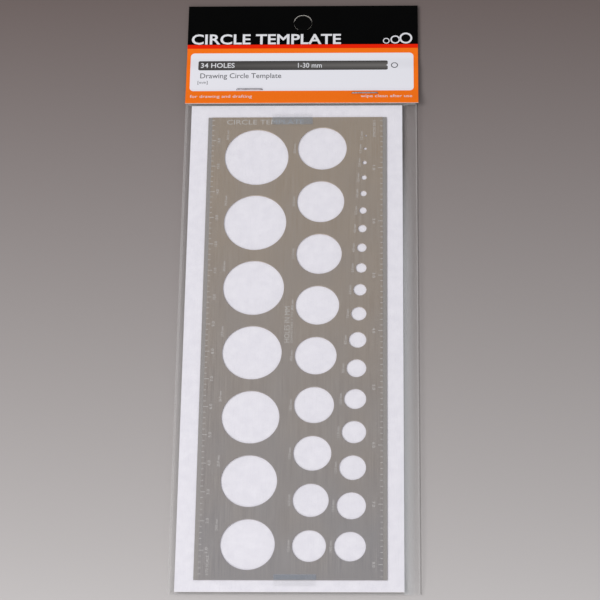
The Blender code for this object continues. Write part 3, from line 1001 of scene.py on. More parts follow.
@dataclass
class TemplateSheet:
    """Etched metal sheet with its 34 drawing holes, two rules and etched lettering."""

    layers: Layers
    metal: bpy.types.Material
    half_etch: bpy.types.Material
    marks: bpy.types.Material
    title_marks: bpy.types.Material
    band_width: float = 1.9 * MM
    band_depth: float = 0.1 * MM
    rim: float = 0.07 * MM
    large: tuple[float, ...] = tuple(d * MM for d in range(24, 31))
    middle: tuple[float, ...] = tuple(d * MM for d in range(15, 24))
    small: tuple[float, ...] = tuple(d * MM for d in (14, 13, 12, 11, 10, 9, 8, 7, 6, 5, 4.5, 4, 3.5, 3,
                                                      2.5, 2, 1.5, 1))
    large_span: tuple[float, float] = (4.65 * MM, 6.85 * MM)
    middle_span: tuple[float, float] = (8.45 * MM, 5.7 * MM)
    small_span: tuple[float, float] = (8.7 * MM, 9.7 * MM)
    large_centre: float = 23.2 * MM
    middle_edge: float = 42.6 * MM
    small_edge: float = 9.37 * MM
    left_rule_unit: float = 1000 * MM / 72
    right_rule_unit: float = 1000 * MM / 35
    left_rule_divisions: int = 5
    right_rule_divisions: int = 10
    right_rule_start: float = 0.8 * MM
    short_tick: float = 1.1 * MM
    long_tick: float = 2.1 * MM
    tick_line: float = 0.24 * MM
    numeral_height: float = 1.25 * MM
    numeral_length: float = 2.6 * MM
    left_numerals: float = 5.9 * MM
    right_numerals: float = 6.6 * MM
    scale_note_height: float = 1.2 * MM
    scale_note_length: float = 9.0 * MM
    scale_note_inset: float = 6.4 * MM
    label_height: float = 1.15 * MM
    label_length: float = 5.4 * MM
    digit_length: float = 0.8 * MM
    label_gap: float = 0.9 * MM
    large_label: tuple[float, float] = (13.2 * MM, 5.5 * MM)
    note_length: float = 18.4 * MM
    note_start: float = 115.5 * MM
    mark_thickness: float = 0.012 * MM
    same_point: float = 0.01 * MM
    merge: float = 0.001 * MM
    facets: int = 96

    def column(self, diameters: Sequence[float], span: tuple[float, float]) -> list[float]:
        """Places up the sheet of a column's hole centres, with equal bars between the holes.

        Args:
            diameters: the holes from the foot up.
            span: margins below the first hole and above the last one.

        Returns:
            Y of every centre.
        """
        low, high = self.layers.plate
        spare = high.y - low.y - sum(span) - sum(diameters)
        bar = spare / (len(diameters) - 1)
        centres = []
        edge = low.y + span[0]
        for diameter in diameters:
            centres.append(edge + diameter / 2)
            edge += diameter + bar
        return centres

    def holes(self) -> dict[str, list[tuple[float, float, float]]]:
        """Place every hole: the large ones on a centre line, the others flush along one side.

        Returns:
            (x, y, diameter) of each hole, by column.
        """
        low, high = self.layers.plate
        large = zip(self.large, self.column(self.large, self.large_span))
        middle = zip(self.middle, self.column(self.middle, self.middle_span))
        small = zip(self.small, self.column(self.small, self.small_span))
        return {
            "large": [(low.x + self.large_centre, y, size) for size, y in large],
            "middle": [(low.x + self.middle_edge + size / 2, y, size) for size, y in middle],
            "small": [(high.x - self.small_edge - size / 2, y, size) for size, y in small],
        }

    def widened(self, tree: bpy.types.NodeTree, rings: bpy.types.NodeSocket, rim: bpy.types.NodeSocket,
                face: bpy.types.Node) -> bpy.types.NodeSocket:
        """Push the top of every hole's edge outwards, which leaves a fine chamfer round the hole.

        Args:
            tree: tree under construction.
            rings: the holes' outlines at Z 0, whose points hold the way out of their hole.
            rim: width of the chamfer.
            face: extrusion whose top is the sheet's top.

        Returns:
            The widened geometry.
        """
        lines = add_node(tree, "GeometryNodeCurveToMesh", links={"Curve": rings}).outputs["Mesh"]
        here = add_node(tree, "GeometryNodeInputPosition").outputs["Position"]
        flat = add_node(tree, "ShaderNodeVectorMath", {1: (1.0, 1.0, 0.0)}, {0: here}, operation="MULTIPLY")
        nearest = add_node(tree, "GeometryNodeSampleNearest",
                           links={"Geometry": lines, "Sample Position": flat.outputs[0]})
        outward = add_node(tree, "GeometryNodeInputNamedAttribute", {"Name": "outward"},
                           data_type="FLOAT_VECTOR").outputs["Attribute"]
        ring_point, way_out = [add_node(tree, "GeometryNodeSampleIndex", data_type="FLOAT_VECTOR", links={
            "Geometry": lines, "Value": value, "Index": nearest.outputs["Index"]}).outputs["Value"]
            for value in (here, outward)]
        away = add_node(tree, "ShaderNodeVectorMath", links={0: flat.outputs[0], 1: ring_point},
                        operation="DISTANCE")
        close = add_node(tree, "ShaderNodeMath", {1: self.same_point}, {0: away.outputs["Value"]},
                         operation="LESS_THAN")
        chosen = add_node(tree, "FunctionNodeBooleanMath", operation="AND",
                          links={0: close.outputs[0], 1: face.outputs["Top"]})
        shift = add_node(tree, "ShaderNodeVectorMath", links={0: way_out, "Scale": rim},
                         operation="SCALE")
        moved = add_node(tree, "GeometryNodeSetPosition", links={
            "Geometry": face.outputs["Mesh"], "Selection": chosen.outputs[0], "Offset": shift.outputs[0]})
        return moved.outputs["Geometry"]

    def sheet_tree(self) -> bpy.types.NodeTree:
        """Geometry tree: circles cut from a rectangle, pushed to a sheet, and both long edges stepped down.

        Returns:
            The tree. Its geometry input is a point for each hole, with the radius in hole_radius.
        """
        tree, entry, output = geometry_tree("perforated_sheet", {
            "Width": "NodeSocketFloat", "Length": "NodeSocketFloat", "Middle": "NodeSocketVector",
            "Base": "NodeSocketFloat", "Thickness": "NodeSocketFloat", "Facets": "NodeSocketInt",
            "Band Width": "NodeSocketFloat", "Band Depth": "NodeSocketFloat", "Rim": "NodeSocketFloat",
            "Metal": "NodeSocketMaterial", "Half Etch": "NodeSocketMaterial"})
        given = entry.outputs
        circle = add_node(tree, "GeometryNodeCurvePrimitiveCircle", {"Radius": 1.0},
                          {"Resolution": given["Facets"]})
        ray = add_node(tree, "GeometryNodeInputPosition")
        marked = add_node(tree, "GeometryNodeStoreNamedAttribute", {"Name": "outward"}, {
            "Geometry": circle.outputs["Curve"], "Value": ray.outputs["Position"]}, data_type="FLOAT_VECTOR")
        radius = add_node(tree, "GeometryNodeInputNamedAttribute", {"Name": "hole_radius"})
        rings = add_node(tree, "GeometryNodeInstanceOnPoints", links={
            "Points": given["Geometry"], "Instance": marked.outputs["Geometry"],
            "Scale": radius.outputs["Attribute"]})
        ring_lines = add_node(tree, "GeometryNodeRealizeInstances",
                              links={"Geometry": rings.outputs["Instances"]})
        frame_line = add_node(tree, "GeometryNodeCurvePrimitiveQuadrilateral",
                              links={"Width": given["Width"], "Height": given["Length"]})
        framed = add_node(tree, "GeometryNodeTransform",
                          links={"Geometry": frame_line.outputs["Curve"], "Translation": given["Middle"]})
        loops = add_node(tree, "GeometryNodeJoinGeometry")
        for part in (ring_lines, framed):
            tree.links.new(part.outputs["Geometry"], loops.inputs["Geometry"])
        face = add_node(tree, "GeometryNodeFillCurve", links={"Curve": loops.outputs["Geometry"]})
        rise = add_node(tree, "ShaderNodeCombineXYZ", links={"Z": given["Base"]})
        foot = add_node(tree, "GeometryNodeTransform",
                        links={"Geometry": face.outputs["Mesh"], "Translation": rise.outputs["Vector"]})
        lower = add_node(tree, "ShaderNodeMath", links={0: given["Thickness"], 1: given["Rim"]},
                         operation="SUBTRACT")
        up = add_node(tree, "ShaderNodeCombineXYZ", links={"Z": lower.outputs[0]})
        body = add_node(tree, "GeometryNodeExtrudeMesh", {"Individual": False},
                        {"Mesh": foot.outputs["Geometry"], "Offset": up.outputs["Vector"]}, mode="FACES")
        lip = add_node(tree, "ShaderNodeCombineXYZ", links={"Z": given["Rim"]})
        face_up = add_node(tree, "GeometryNodeExtrudeMesh", {"Individual": False}, {
            "Mesh": body.outputs["Mesh"], "Selection": body.outputs["Top"], "Offset": lip.outputs["Vector"]},
            mode="FACES")
        top = self.widened(tree, ring_lines.outputs["Geometry"], given["Rim"], face_up)
        under = add_node(tree, "GeometryNodeFlipFaces", links={"Mesh": foot.outputs["Geometry"]})
        shell = add_node(tree, "GeometryNodeJoinGeometry")
        tree.links.new(top, shell.inputs["Geometry"])
        tree.links.new(under.outputs["Mesh"], shell.inputs["Geometry"])
        solid = add_node(tree, "GeometryNodeMergeByDistance", {"Distance": self.merge},
                         {"Geometry": shell.outputs["Geometry"]})
        height = add_node(tree, "ShaderNodeMath", links={0: given["Base"], 1: given["Thickness"]})
        bands = add_node(tree, "GeometryNodeJoinGeometry")
        double = add_node(tree, "ShaderNodeVectorMath", {1: (2.0, 2.0, 2.0)}, operation="MULTIPLY")
        size = add_node(tree, "ShaderNodeCombineXYZ", links={
            "X": given["Band Width"], "Y": given["Length"], "Z": given["Band Depth"]})
        tree.links.new(size.outputs["Vector"], double.inputs[0])
        for side in (-0.5, 0.5):
            out = add_node(tree, "ShaderNodeMath", {1: side}, {0: given["Width"]}, operation="MULTIPLY")
            step = add_node(tree, "ShaderNodeCombineXYZ",
                            links={"X": out.outputs[0], "Z": height.outputs[0]})
            spot = add_node(tree, "ShaderNodeVectorMath",
                            links={0: step.outputs["Vector"], 1: given["Middle"]})
            block = add_node(tree, "GeometryNodeMeshCube", links={"Size": double.outputs[0]})
            moved = add_node(tree, "GeometryNodeTransform",
                             links={"Geometry": block.outputs["Mesh"], "Translation": spot.outputs[0]})
            tree.links.new(moved.outputs["Geometry"], bands.inputs["Geometry"])
        stepped = add_node(tree, "GeometryNodeMeshBoolean", operation="DIFFERENCE", solver="EXACT",
                           links={"Mesh 1": solid.outputs["Geometry"], "Mesh 2": bands.outputs["Geometry"]})
        real = add_node(tree, "GeometryNodeRealizeInstances", links={"Geometry": stepped.outputs["Mesh"]})
        dressed = add_node(tree, "GeometryNodeSetMaterial",
                           links={"Geometry": real.outputs["Geometry"], "Material": given["Metal"]})
        spot = add_node(tree, "GeometryNodeInputPosition")
        axes = add_node(tree, "ShaderNodeSeparateXYZ", links={"Vector": spot.outputs["Position"]})
        shoulder = add_node(tree, "ShaderNodeMath", links={0: height.outputs[0], 1: given["Band Depth"]},
                            operation="SUBTRACT")
        level = add_node(tree, "ShaderNodeMath", {2: self.same_point},
                         {0: axes.outputs["Z"], 1: shoulder.outputs[0]}, operation="COMPARE")
        etched = add_node(tree, "GeometryNodeSetMaterial", links={
            "Geometry": dressed.outputs["Geometry"], "Selection": level.outputs[0],
            "Material": given["Half Etch"]})
        tree.links.new(etched.outputs["Geometry"], output.inputs["Geometry"])
        return tree

    def build_sheet(self) -> bpy.types.Object:
        """Build the perforated sheet with its stepped bands and softened etched edges."""
        low, high = self.layers.plate
        holes = [hole for column in self.holes().values() for hole in column]
        points = bpy.data.meshes.new("hole_places")
        points.from_pydata([(x, y, 0.0) for x, y, _ in holes], [], [])
        sizes = points.attributes.new("hole_radius", "FLOAT", "POINT")
        sizes.data.foreach_set("value", [diameter / 2 for _, _, diameter in holes])
        carrier = bpy.data.objects.new("template_sheet", points)
        bpy.context.scene.collection.objects.link(carrier)
        nodes_modifier(carrier, self.sheet_tree(), {
            "Width": high.x - low.x, "Length": high.y - low.y,
            "Middle": ((low.x + high.x) / 2, (low.y + high.y) / 2, 0.0), "Base": low.z,
            "Thickness": high.z - low.z, "Facets": self.facets, "Band Width": self.band_width,
            "Band Depth": self.band_depth, "Rim": self.rim, "Metal": self.metal,
            "Half Etch": self.half_etch})
        sheet = new_object("template_sheet", plain_mesh(carrier), None, 30.0)
        for face in sheet.data.polygons:
            face.use_smooth = abs(face.normal.z) < 0.99
        return sheet

    def rule_tree(self) -> bpy.types.NodeTree:
        """Geometry tree: ticks along a line, longer at every whole unit."""
        tree, entry, output = geometry_tree("etched_rule", {
            "Start": "NodeSocketVector", "Pitch": "NodeSocketFloat", "Count": "NodeSocketInt",
            "Per Unit": "NodeSocketInt", "Short": "NodeSocketFloat", "Long": "NodeSocketFloat",
            "Line": "NodeSocketFloat", "Thickness": "NodeSocketFloat", "Inwards": "NodeSocketFloat",
            "Metal": "NodeSocketMaterial"})
        given = entry.outputs
        step = add_node(tree, "ShaderNodeCombineXYZ", links={"Y": given["Pitch"]})
        line = add_node(tree, "GeometryNodeMeshLine", links={
            "Count": given["Count"], "Start Location": given["Start"], "Offset": step.outputs["Vector"]},
            mode="OFFSET")
        index = add_node(tree, "GeometryNodeInputIndex")
        division = add_node(tree, "ShaderNodeMath", {1: 1.0}, {0: index.outputs["Index"]}, operation="ADD")
        rest = add_node(tree, "ShaderNodeMath", links={0: division.outputs[0], 1: given["Per Unit"]},
                        operation="MODULO")
        whole = add_node(tree, "ShaderNodeMath", {1: 0.5}, {0: rest.outputs[0]}, operation="LESS_THAN")
        reach = add_node(tree, "ShaderNodeMix", links={0: whole.outputs[0], 2: given["Short"],
                                                       3: given["Long"]}, data_type="FLOAT")
        size = add_node(tree, "ShaderNodeCombineXYZ", links={"X": reach.outputs[0], "Y": given["Line"],
                                                             "Z": given["Thickness"]})
        half = add_node(tree, "ShaderNodeMath", {1: 0.5}, {0: reach.outputs[0]}, operation="MULTIPLY")
        signed = add_node(tree, "ShaderNodeMath", links={0: half.outputs[0], 1: given["Inwards"]},
                          operation="MULTIPLY")
        shift = add_node(tree, "ShaderNodeCombineXYZ", links={"X": signed.outputs[0]})
        moved = add_node(tree, "GeometryNodeSetPosition",
                         links={"Geometry": line.outputs["Mesh"], "Offset": shift.outputs["Vector"]})
        block = add_node(tree, "GeometryNodeMeshCube", {"Size": (1.0, 1.0, 1.0)})
        ticks = add_node(tree, "GeometryNodeInstanceOnPoints", links={
            "Points": moved.outputs["Geometry"], "Instance": block.outputs["Mesh"],
            "Scale": size.outputs["Vector"]})
        close_tree(tree, ticks.outputs["Instances"], given["Metal"], output)
        return tree

    def build_rule(self, name: str, tree: bpy.types.NodeTree, unit: float, per_unit: int,
                   inwards: int) -> bpy.types.Object:
        """Build one rule's ticks along a long edge.

        Args:
            name: name of the piece.
            tree: tick geometry tree.
            unit: length of one whole unit.
            per_unit: divisions in a unit.
            inwards: 1 on the left edge and -1 on the right one.

        Returns:
            The ticks as one piece.
        """
        low, high = self.layers.plate
        pitch = unit / per_unit
        count = int((high.y - low.y) / pitch)
        first = low.y if inwards > 0 else high.y + self.right_rule_start
        edge = (low.x if inwards > 0 else high.x) + inwards * self.band_width
        carrier = bpy.data.objects.new(name, bpy.data.meshes.new(name))
        bpy.context.scene.collection.objects.link(carrier)
        nodes_modifier(carrier, tree, {
            "Start": (edge, first + inwards * pitch, high.z + self.mark_thickness / 2),
            "Pitch": inwards * pitch, "Count": count, "Per Unit": per_unit, "Short": self.short_tick,
            "Long": self.long_tick, "Line": self.tick_line, "Thickness": self.mark_thickness,
            "Inwards": float(inwards), "Metal": self.marks})
        return new_object(name, plain_mesh(carrier), [self.marks])

    def rule_numerals(self) -> list[bpy.types.Mesh]:
        """Numbers and scale notes of both rules.

        Returns:
            Flat letters: the left rule's rise from the foot, and the right one's fall from the top.
        """
        low, high = self.layers.plate
        half = self.numeral_length / 2
        meshes = []
        for number in range(1, int((high.y - low.y) / self.left_rule_unit) + 1):
            y = low.y + number * self.left_rule_unit
            text = Lettering(f"{number}.0", self.numeral_height, self.numeral_length)
            meshes.append(text.flat_mesh((low.x + self.left_numerals, y - half), 90.0))
        for number in range(1, int((high.y - low.y) / self.right_rule_unit) + 1):
            y = high.y + self.right_rule_start - number * self.right_rule_unit
            text = Lettering(f"{number}.0", self.numeral_height, self.numeral_length)
            meshes.append(text.flat_mesh((high.x - self.right_numerals, y + half), -90.0))
        left_note = Lettering("1/72 SCALE", self.scale_note_height, self.scale_note_length)
        right_note = Lettering("1/35 SCALE", self.scale_note_height, self.scale_note_length)
        inset = self.scale_note_inset
        meshes.append(left_note.flat_mesh((low.x + inset, low.y + 2.4 * MM), 90.0))
        meshes.append(right_note.flat_mesh((high.x - inset, high.y - 2.0 * MM), -90.0))
        return meshes

    def hole_labels(self) -> list[bpy.types.Mesh]:
        """Diameter of every hole, read from bottom to top at the hole's left.

        Returns:
            Flat letters. A large hole's label stands in the corner above its shoulder.
        """
        meshes = []
        for column, holes in self.holes().items():
            for x, y, diameter in holes:
                length = self.label_length
                if diameter < 10 * MM:
                    length -= self.digit_length
                text = Lettering(f"{diameter / MM:.1f} mm", self.label_height, length)
                spot = (x - diameter / 2 - self.label_gap, y - length / 2)
                if column == "large":
                    spot = (x - self.large_label[0], y + diameter / 2 - self.large_label[1])
                meshes.append(text.flat_mesh(spot, 90.0))
        return meshes

    def titles(self) -> list[bpy.types.Mesh]:
        """Title along the top edge and the two notes up the middle.

        Returns:
            Flat letters.
        """
        low, high = self.layers.plate
        title = Lettering("CIRCLE TEMPLATE", 2.6 * MM, 36.5 * MM)
        note = Lettering("HOLES IN MM", 2.4 * MM, self.note_length)
        range_note = Lettering("DIAMETERS 1 TO 30", 0.9 * MM, self.note_length)
        middle = (low.x + high.x) / 2
        foot = low.y + self.note_start
        return [title.flat_mesh((low.x + 8.8 * MM, high.y - 3.9 * MM)),
                note.flat_mesh((middle - 2.1 * MM, foot), 90.0),
                range_note.flat_mesh((middle - 0.7 * MM, foot), 90.0)]

    def build(self) -> None:
        """Build the sheet and everything etched on it."""
        place(self.build_sheet(), Body.INSERT, Slot.PLATE, "template_plate")
        tree = self.rule_tree()
        for name, unit, per_unit, inwards in (
                ("rule_ticks_left", self.left_rule_unit, self.left_rule_divisions, 1),
                ("rule_ticks_right", self.right_rule_unit, self.right_rule_divisions, -1)):
            ticks = self.build_rule(name, tree, unit, per_unit, inwards)
            place(ticks, Body.INSERT, Slot.PLATE)
        on_top = Matrix.Translation((0.0, 0.0, self.layers.plate[1].z))
        for name, flats, finish in (("rule_numerals", self.rule_numerals(), self.marks),
                                    ("hole_size_labels", self.hole_labels(), self.marks),
                                    ("etched_titles", self.titles(), self.title_marks)):
            mesh = joined(name, flats, self.mark_thickness)
            mesh.transform(on_top)
            place(new_object(name, mesh, [finish]), Body.INSERT, Slot.PLATE)


@dataclass
class BackingCard:
    """Cut sheet of white board with crisp guillotined edges and a very slight bow."""

    layers: Layers
    board: bpy.types.Material
    core: bpy.types.Material
    bow: float = 0.05 * MM
    bow_waves: float = 18.0
    cells: tuple[int, int] = (20, 48)

    def build(self) -> None:
        """Build the card."""
        low, high = self.layers.card
        builder = bmesh.new()
        columns, rows = self.cells
        xs, ys = spaced(low.x, high.x, columns), spaced(low.y, high.y, rows)
        for z in (low.z, high.z):
            grid = []
            for y in ys:
                drops = [self.bow * noise.noise(Vector((x, y, 0.0)) * self.bow_waves) for x in xs]
                grid.append([builder.verts.new((x, y, z - drop)) for x, drop in zip(xs, drops)])
            for near, far in zip(grid, grid[1:]):
                for index in range(columns):
                    builder.faces.new((near[index], near[index + 1], far[index + 1], far[index]))
        edges = [edge for edge in builder.edges if edge.is_boundary]
        walls = bmesh.ops.bridge_loops(builder, edges=edges)["faces"]
        for wall in walls:
            wall.material_index = 1
        bmesh.ops.recalc_face_normals(builder, faces=builder.faces)
        card = new_object("backing_card_sheet", mesh_from(builder, "card"), [self.board, self.core])
        place(card, Body.INSERT, Slot.CARD, "backing_card")


@dataclass
class TapeStrip:
    """Strip of clear tape with saw-toothed ends, stepping down from the metal to the card."""

    name: str
    node: str
    layers: Layers
    dry: bpy.types.Material
    wetted: bpy.types.Material
    on_top_edge: bool
    teeth_depth: float = 0.3 * MM
    step_run: float = 0.9 * MM
    wrinkle: float = 0.02 * MM
    wrinkle_waves: float = 900.0
    columns: int = 44
    rows: int = 14

    def build(self) -> None:
        """Build the strip."""
        low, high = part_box(self.node)
        edge = self.layers.plate[1].y if self.on_top_edge else self.layers.plate[0].y
        inwards = -1 if self.on_top_edge else 1
        thickness = self.layers.film_solid / 2
        top, foot = high.z - self.layers.film_solid, low.z
        builder = bmesh.new()
        grids = []
        for side in (0.0, thickness):
            grid = []
            for row, y in enumerate(sorted(spaced(low.y, high.y, self.rows - 1) + [edge])):
                over = smoothstep((y - edge) * inwards, -self.step_run, 0.0)
                tooth = self.teeth_depth * (row % 2)
                line = []
                for x in spaced(low.x + tooth, high.x - tooth, self.columns):
                    ripple = self.wrinkle * noise.noise(Vector((x, y, 0.0)) * self.wrinkle_waves)
                    line.append(builder.verts.new((x, y, mix(foot, top, over) + side + ripple)))
                grid.append(line)
            grids.append(grid)
        for grid in grids:
            for near, far in zip(grid, grid[1:]):
                for index in range(self.columns):
                    face = builder.faces.new((near[index], near[index + 1], far[index + 1], far[index]))
                    middle = (near[index].co.y + far[index].co.y) / 2
                    face.material_index = int((middle - edge) * inwards > 0.0)
        bmesh.ops.bridge_loops(builder, edges=[side for side in builder.edges if side.is_boundary])
        bmesh.ops.recalc_face_normals(builder, faces=builder.faces)
        strip = new_object(self.name, mesh_from(builder, self.name), [self.dry, self.wetted])
        place(strip, Body.INSERT, Slot.TAPE, self.node)


@dataclass
class FilmSleeve:
    """Clear sleeve made of one film: back, bottom fold and front, welded down both sides."""

    layers: Layers
    film: bpy.types.Material
    left_weld: bpy.types.Material
    right_weld: bpy.types.Material
    ripple: float = 0.06 * MM
    spread: float = 0.06 * MM
    columns: int = 54
    rows: int = 110

    def across(self) -> list[float]:
        """Places across the sleeve, closer together at its sides.

        Returns:
            X of every column of the film, from left to right.
        """
        left, right = self.layers.weld_left[0].x, self.layers.weld_right[1].x
        weld = self.layers.weld_left[1].x - left
        near = spaced(left, left + weld, 3) + spaced(left + weld, left + 8 * MM, 12)[1:]
        far = spaced(right - 9 * MM, right - weld, 12) + spaced(right - weld, right, 3)[1:]
        return near + spaced(near[-1], far[0], self.columns - len(near) - len(far))[1:-1] + far

    def side_share(self, x: float) -> float:
        """Share of the way from the weld, at 0, to the card's edge and inwards of it, at 1.

        Args:
            x: place across.

        Returns:
            A share from 0 to 1.
        """
        left, right = self.layers.weld_left[1].x, self.layers.weld_right[0].x
        from_left = smoothstep(x, left, self.layers.card[0].x - self.layers.gap)
        from_right = smoothstep(-x, -right, -self.layers.card[1].x - self.layers.gap)
        return min(from_left, from_right)

    def height(self, x: float, y: float, front: bool) -> float:
        """Middle of the film at (x, y).

        Args:
            x: place across.
            y: place along.
            front: True for the front film.

        Returns:
            Height in metres.
        """
        body = self.layers.front_height(y) if front else self.layers.back_height(y)
        weld = (self.layers.front_height(y) + self.layers.back_height(y)) / 2
        weld += self.spread if front else -self.spread
        wave = noise.noise(Vector((x * 30.0, y * 14.0, 3.0 if front else 7.0)))
        share = self.side_share(x)
        calm = 1.0 - smoothstep(y, self.layers.mouth_start, self.layers.mouth_start + 2 * MM)
        return mix(weld, body, share) + self.ripple * wave * share * calm * (1.0 if front else 0.5)

    def stations(self) -> list[tuple[float, bool, float]]:
        """Places along the film from the front mouth, round the fold, to the back mouth.

        Returns:
            (y, front, share round the fold) with share 0 at the front lip and 1 at the back one.
        """
        bottom, mouth = self.layers.card[0].y, self.layers.front_film[1].y
        turn = self.layers.plate[0].y + 3 * MM
        close = spaced(mouth, self.layers.mouth_start, 18)
        close += spaced(self.layers.mouth_start, turn, self.rows)[1:]
        lip = spaced(turn, bottom, 16)[1:]
        front = [(y, True, 0.0) for y in close + lip]
        fold = [(bottom, True, share) for share in spaced(0.0, 1.0, 12)[1:-1]]
        droop = spaced(bottom, bottom + self.layers.droop_run, 14)
        back = droop + spaced(droop[-1], mouth, 40)[1:]
        return front + fold + [(y, False, 1.0) for y in back]

    def build(self) -> None:
        """Build the sleeve."""
        builder = bmesh.new()
        xs = self.across()
        reach = self.layers.card[0].y - self.layers.fold[0].y - self.layers.film / 2
        weld_left, weld_right = self.layers.weld_left[1].x, self.layers.weld_right[0].x
        grid = []
        for y, front, share in self.stations():
            line = []
            for x in xs:
                if 0.0 < share < 1.0:
                    top, low = self.height(x, y, True), self.height(x, y, False)
                    angle = math.pi * share
                    z = (top + low) / 2 + (top - low) / 2 * math.cos(angle)
                    line.append(builder.verts.new((x, y - reach * math.sin(angle), z)))
                else:
                    line.append(builder.verts.new((x, y, self.height(x, y, front))))
            grid.append(line)
        for near, far in zip(grid, grid[1:]):
            for index in range(len(xs) - 1):
                face = builder.faces.new((near[index], near[index + 1], far[index + 1], far[index]))
                middle = (xs[index] + xs[index + 1]) / 2
                face.material_index = int(middle < weld_left) + 2 * int(middle > weld_right)
        bmesh.ops.recalc_face_normals(builder, faces=builder.faces)
        finishes = [self.film, self.left_weld, self.right_weld]
        carrier = new_object("sleeve_film", mesh_from(builder, "sleeve"), finishes)
        wall = carrier.modifiers.new("film_wall", "SOLIDIFY")
        wall.thickness = self.layers.film
        wall.offset = 0.0
        sleeve = new_object("sleeve_film", plain_mesh(carrier), finishes)
        place(sleeve, Body.POUCH, Slot.FILM, "sleeve_front_film", "sleeve_back_film", "sleeve_weld_left",
              "sleeve_weld_right", "sleeve_bottom_fold")


@dataclass
class HangHole:
    """Round cut that stops short at the foot, shared by both panels and their tabs."""

    radius: float = 4.5 * MM
    cut: float = 0.3 * MM
    facets: int = 96

    def crease(self, node: str) -> float:
        """Height of the crease under a tab, from the tab's own node."""
        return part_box(node)[0].y - self.cut

    def centre(self) -> float:
        """Y of the hole's centre, from the front tab's round top edge."""
        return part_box("hang_tab_front")[1].y - (self.radius - self.cut)

    def outline(self, radius: float, foot: float) -> list[tuple[float, float]]:
        """Round outline above a straight foot.

        Args:
            radius: radius of the round stretch.
            foot: Y of the straight foot.

        Returns:
            (x, y) points from the foot's right end, over the top, to its left end.
        """
        start = math.asin((foot - self.centre()) / radius)
        return [(radius * math.cos(angle), self.centre() + radius * math.sin(angle))
                for angle in spaced(start, math.pi - start, self.facets)]


def prism(outline: Sequence[tuple[float, float]], low: float, high: float) -> bmesh.types.BMesh:
    """Closed prism on a flat outline.

    Args:
        outline: (x, y) points.
        low: height of its foot.
        high: height of its top.

    Returns:
        A bmesh that holds it.
    """
    builder = bmesh.new()
    rings = [[builder.verts.new((x, y, z)) for x, y in outline] for z in (low, high)]
    builder.faces.new(rings[0][::-1])
    builder.faces.new(rings[1])
    for index in range(len(outline)):
        follower = (index + 1) % len(outline)
        builder.faces.new((rings[0][index], rings[0][follower], rings[1][follower], rings[1][index]))
    bmesh.ops.recalc_face_normals(builder, faces=builder.faces)
    return builder


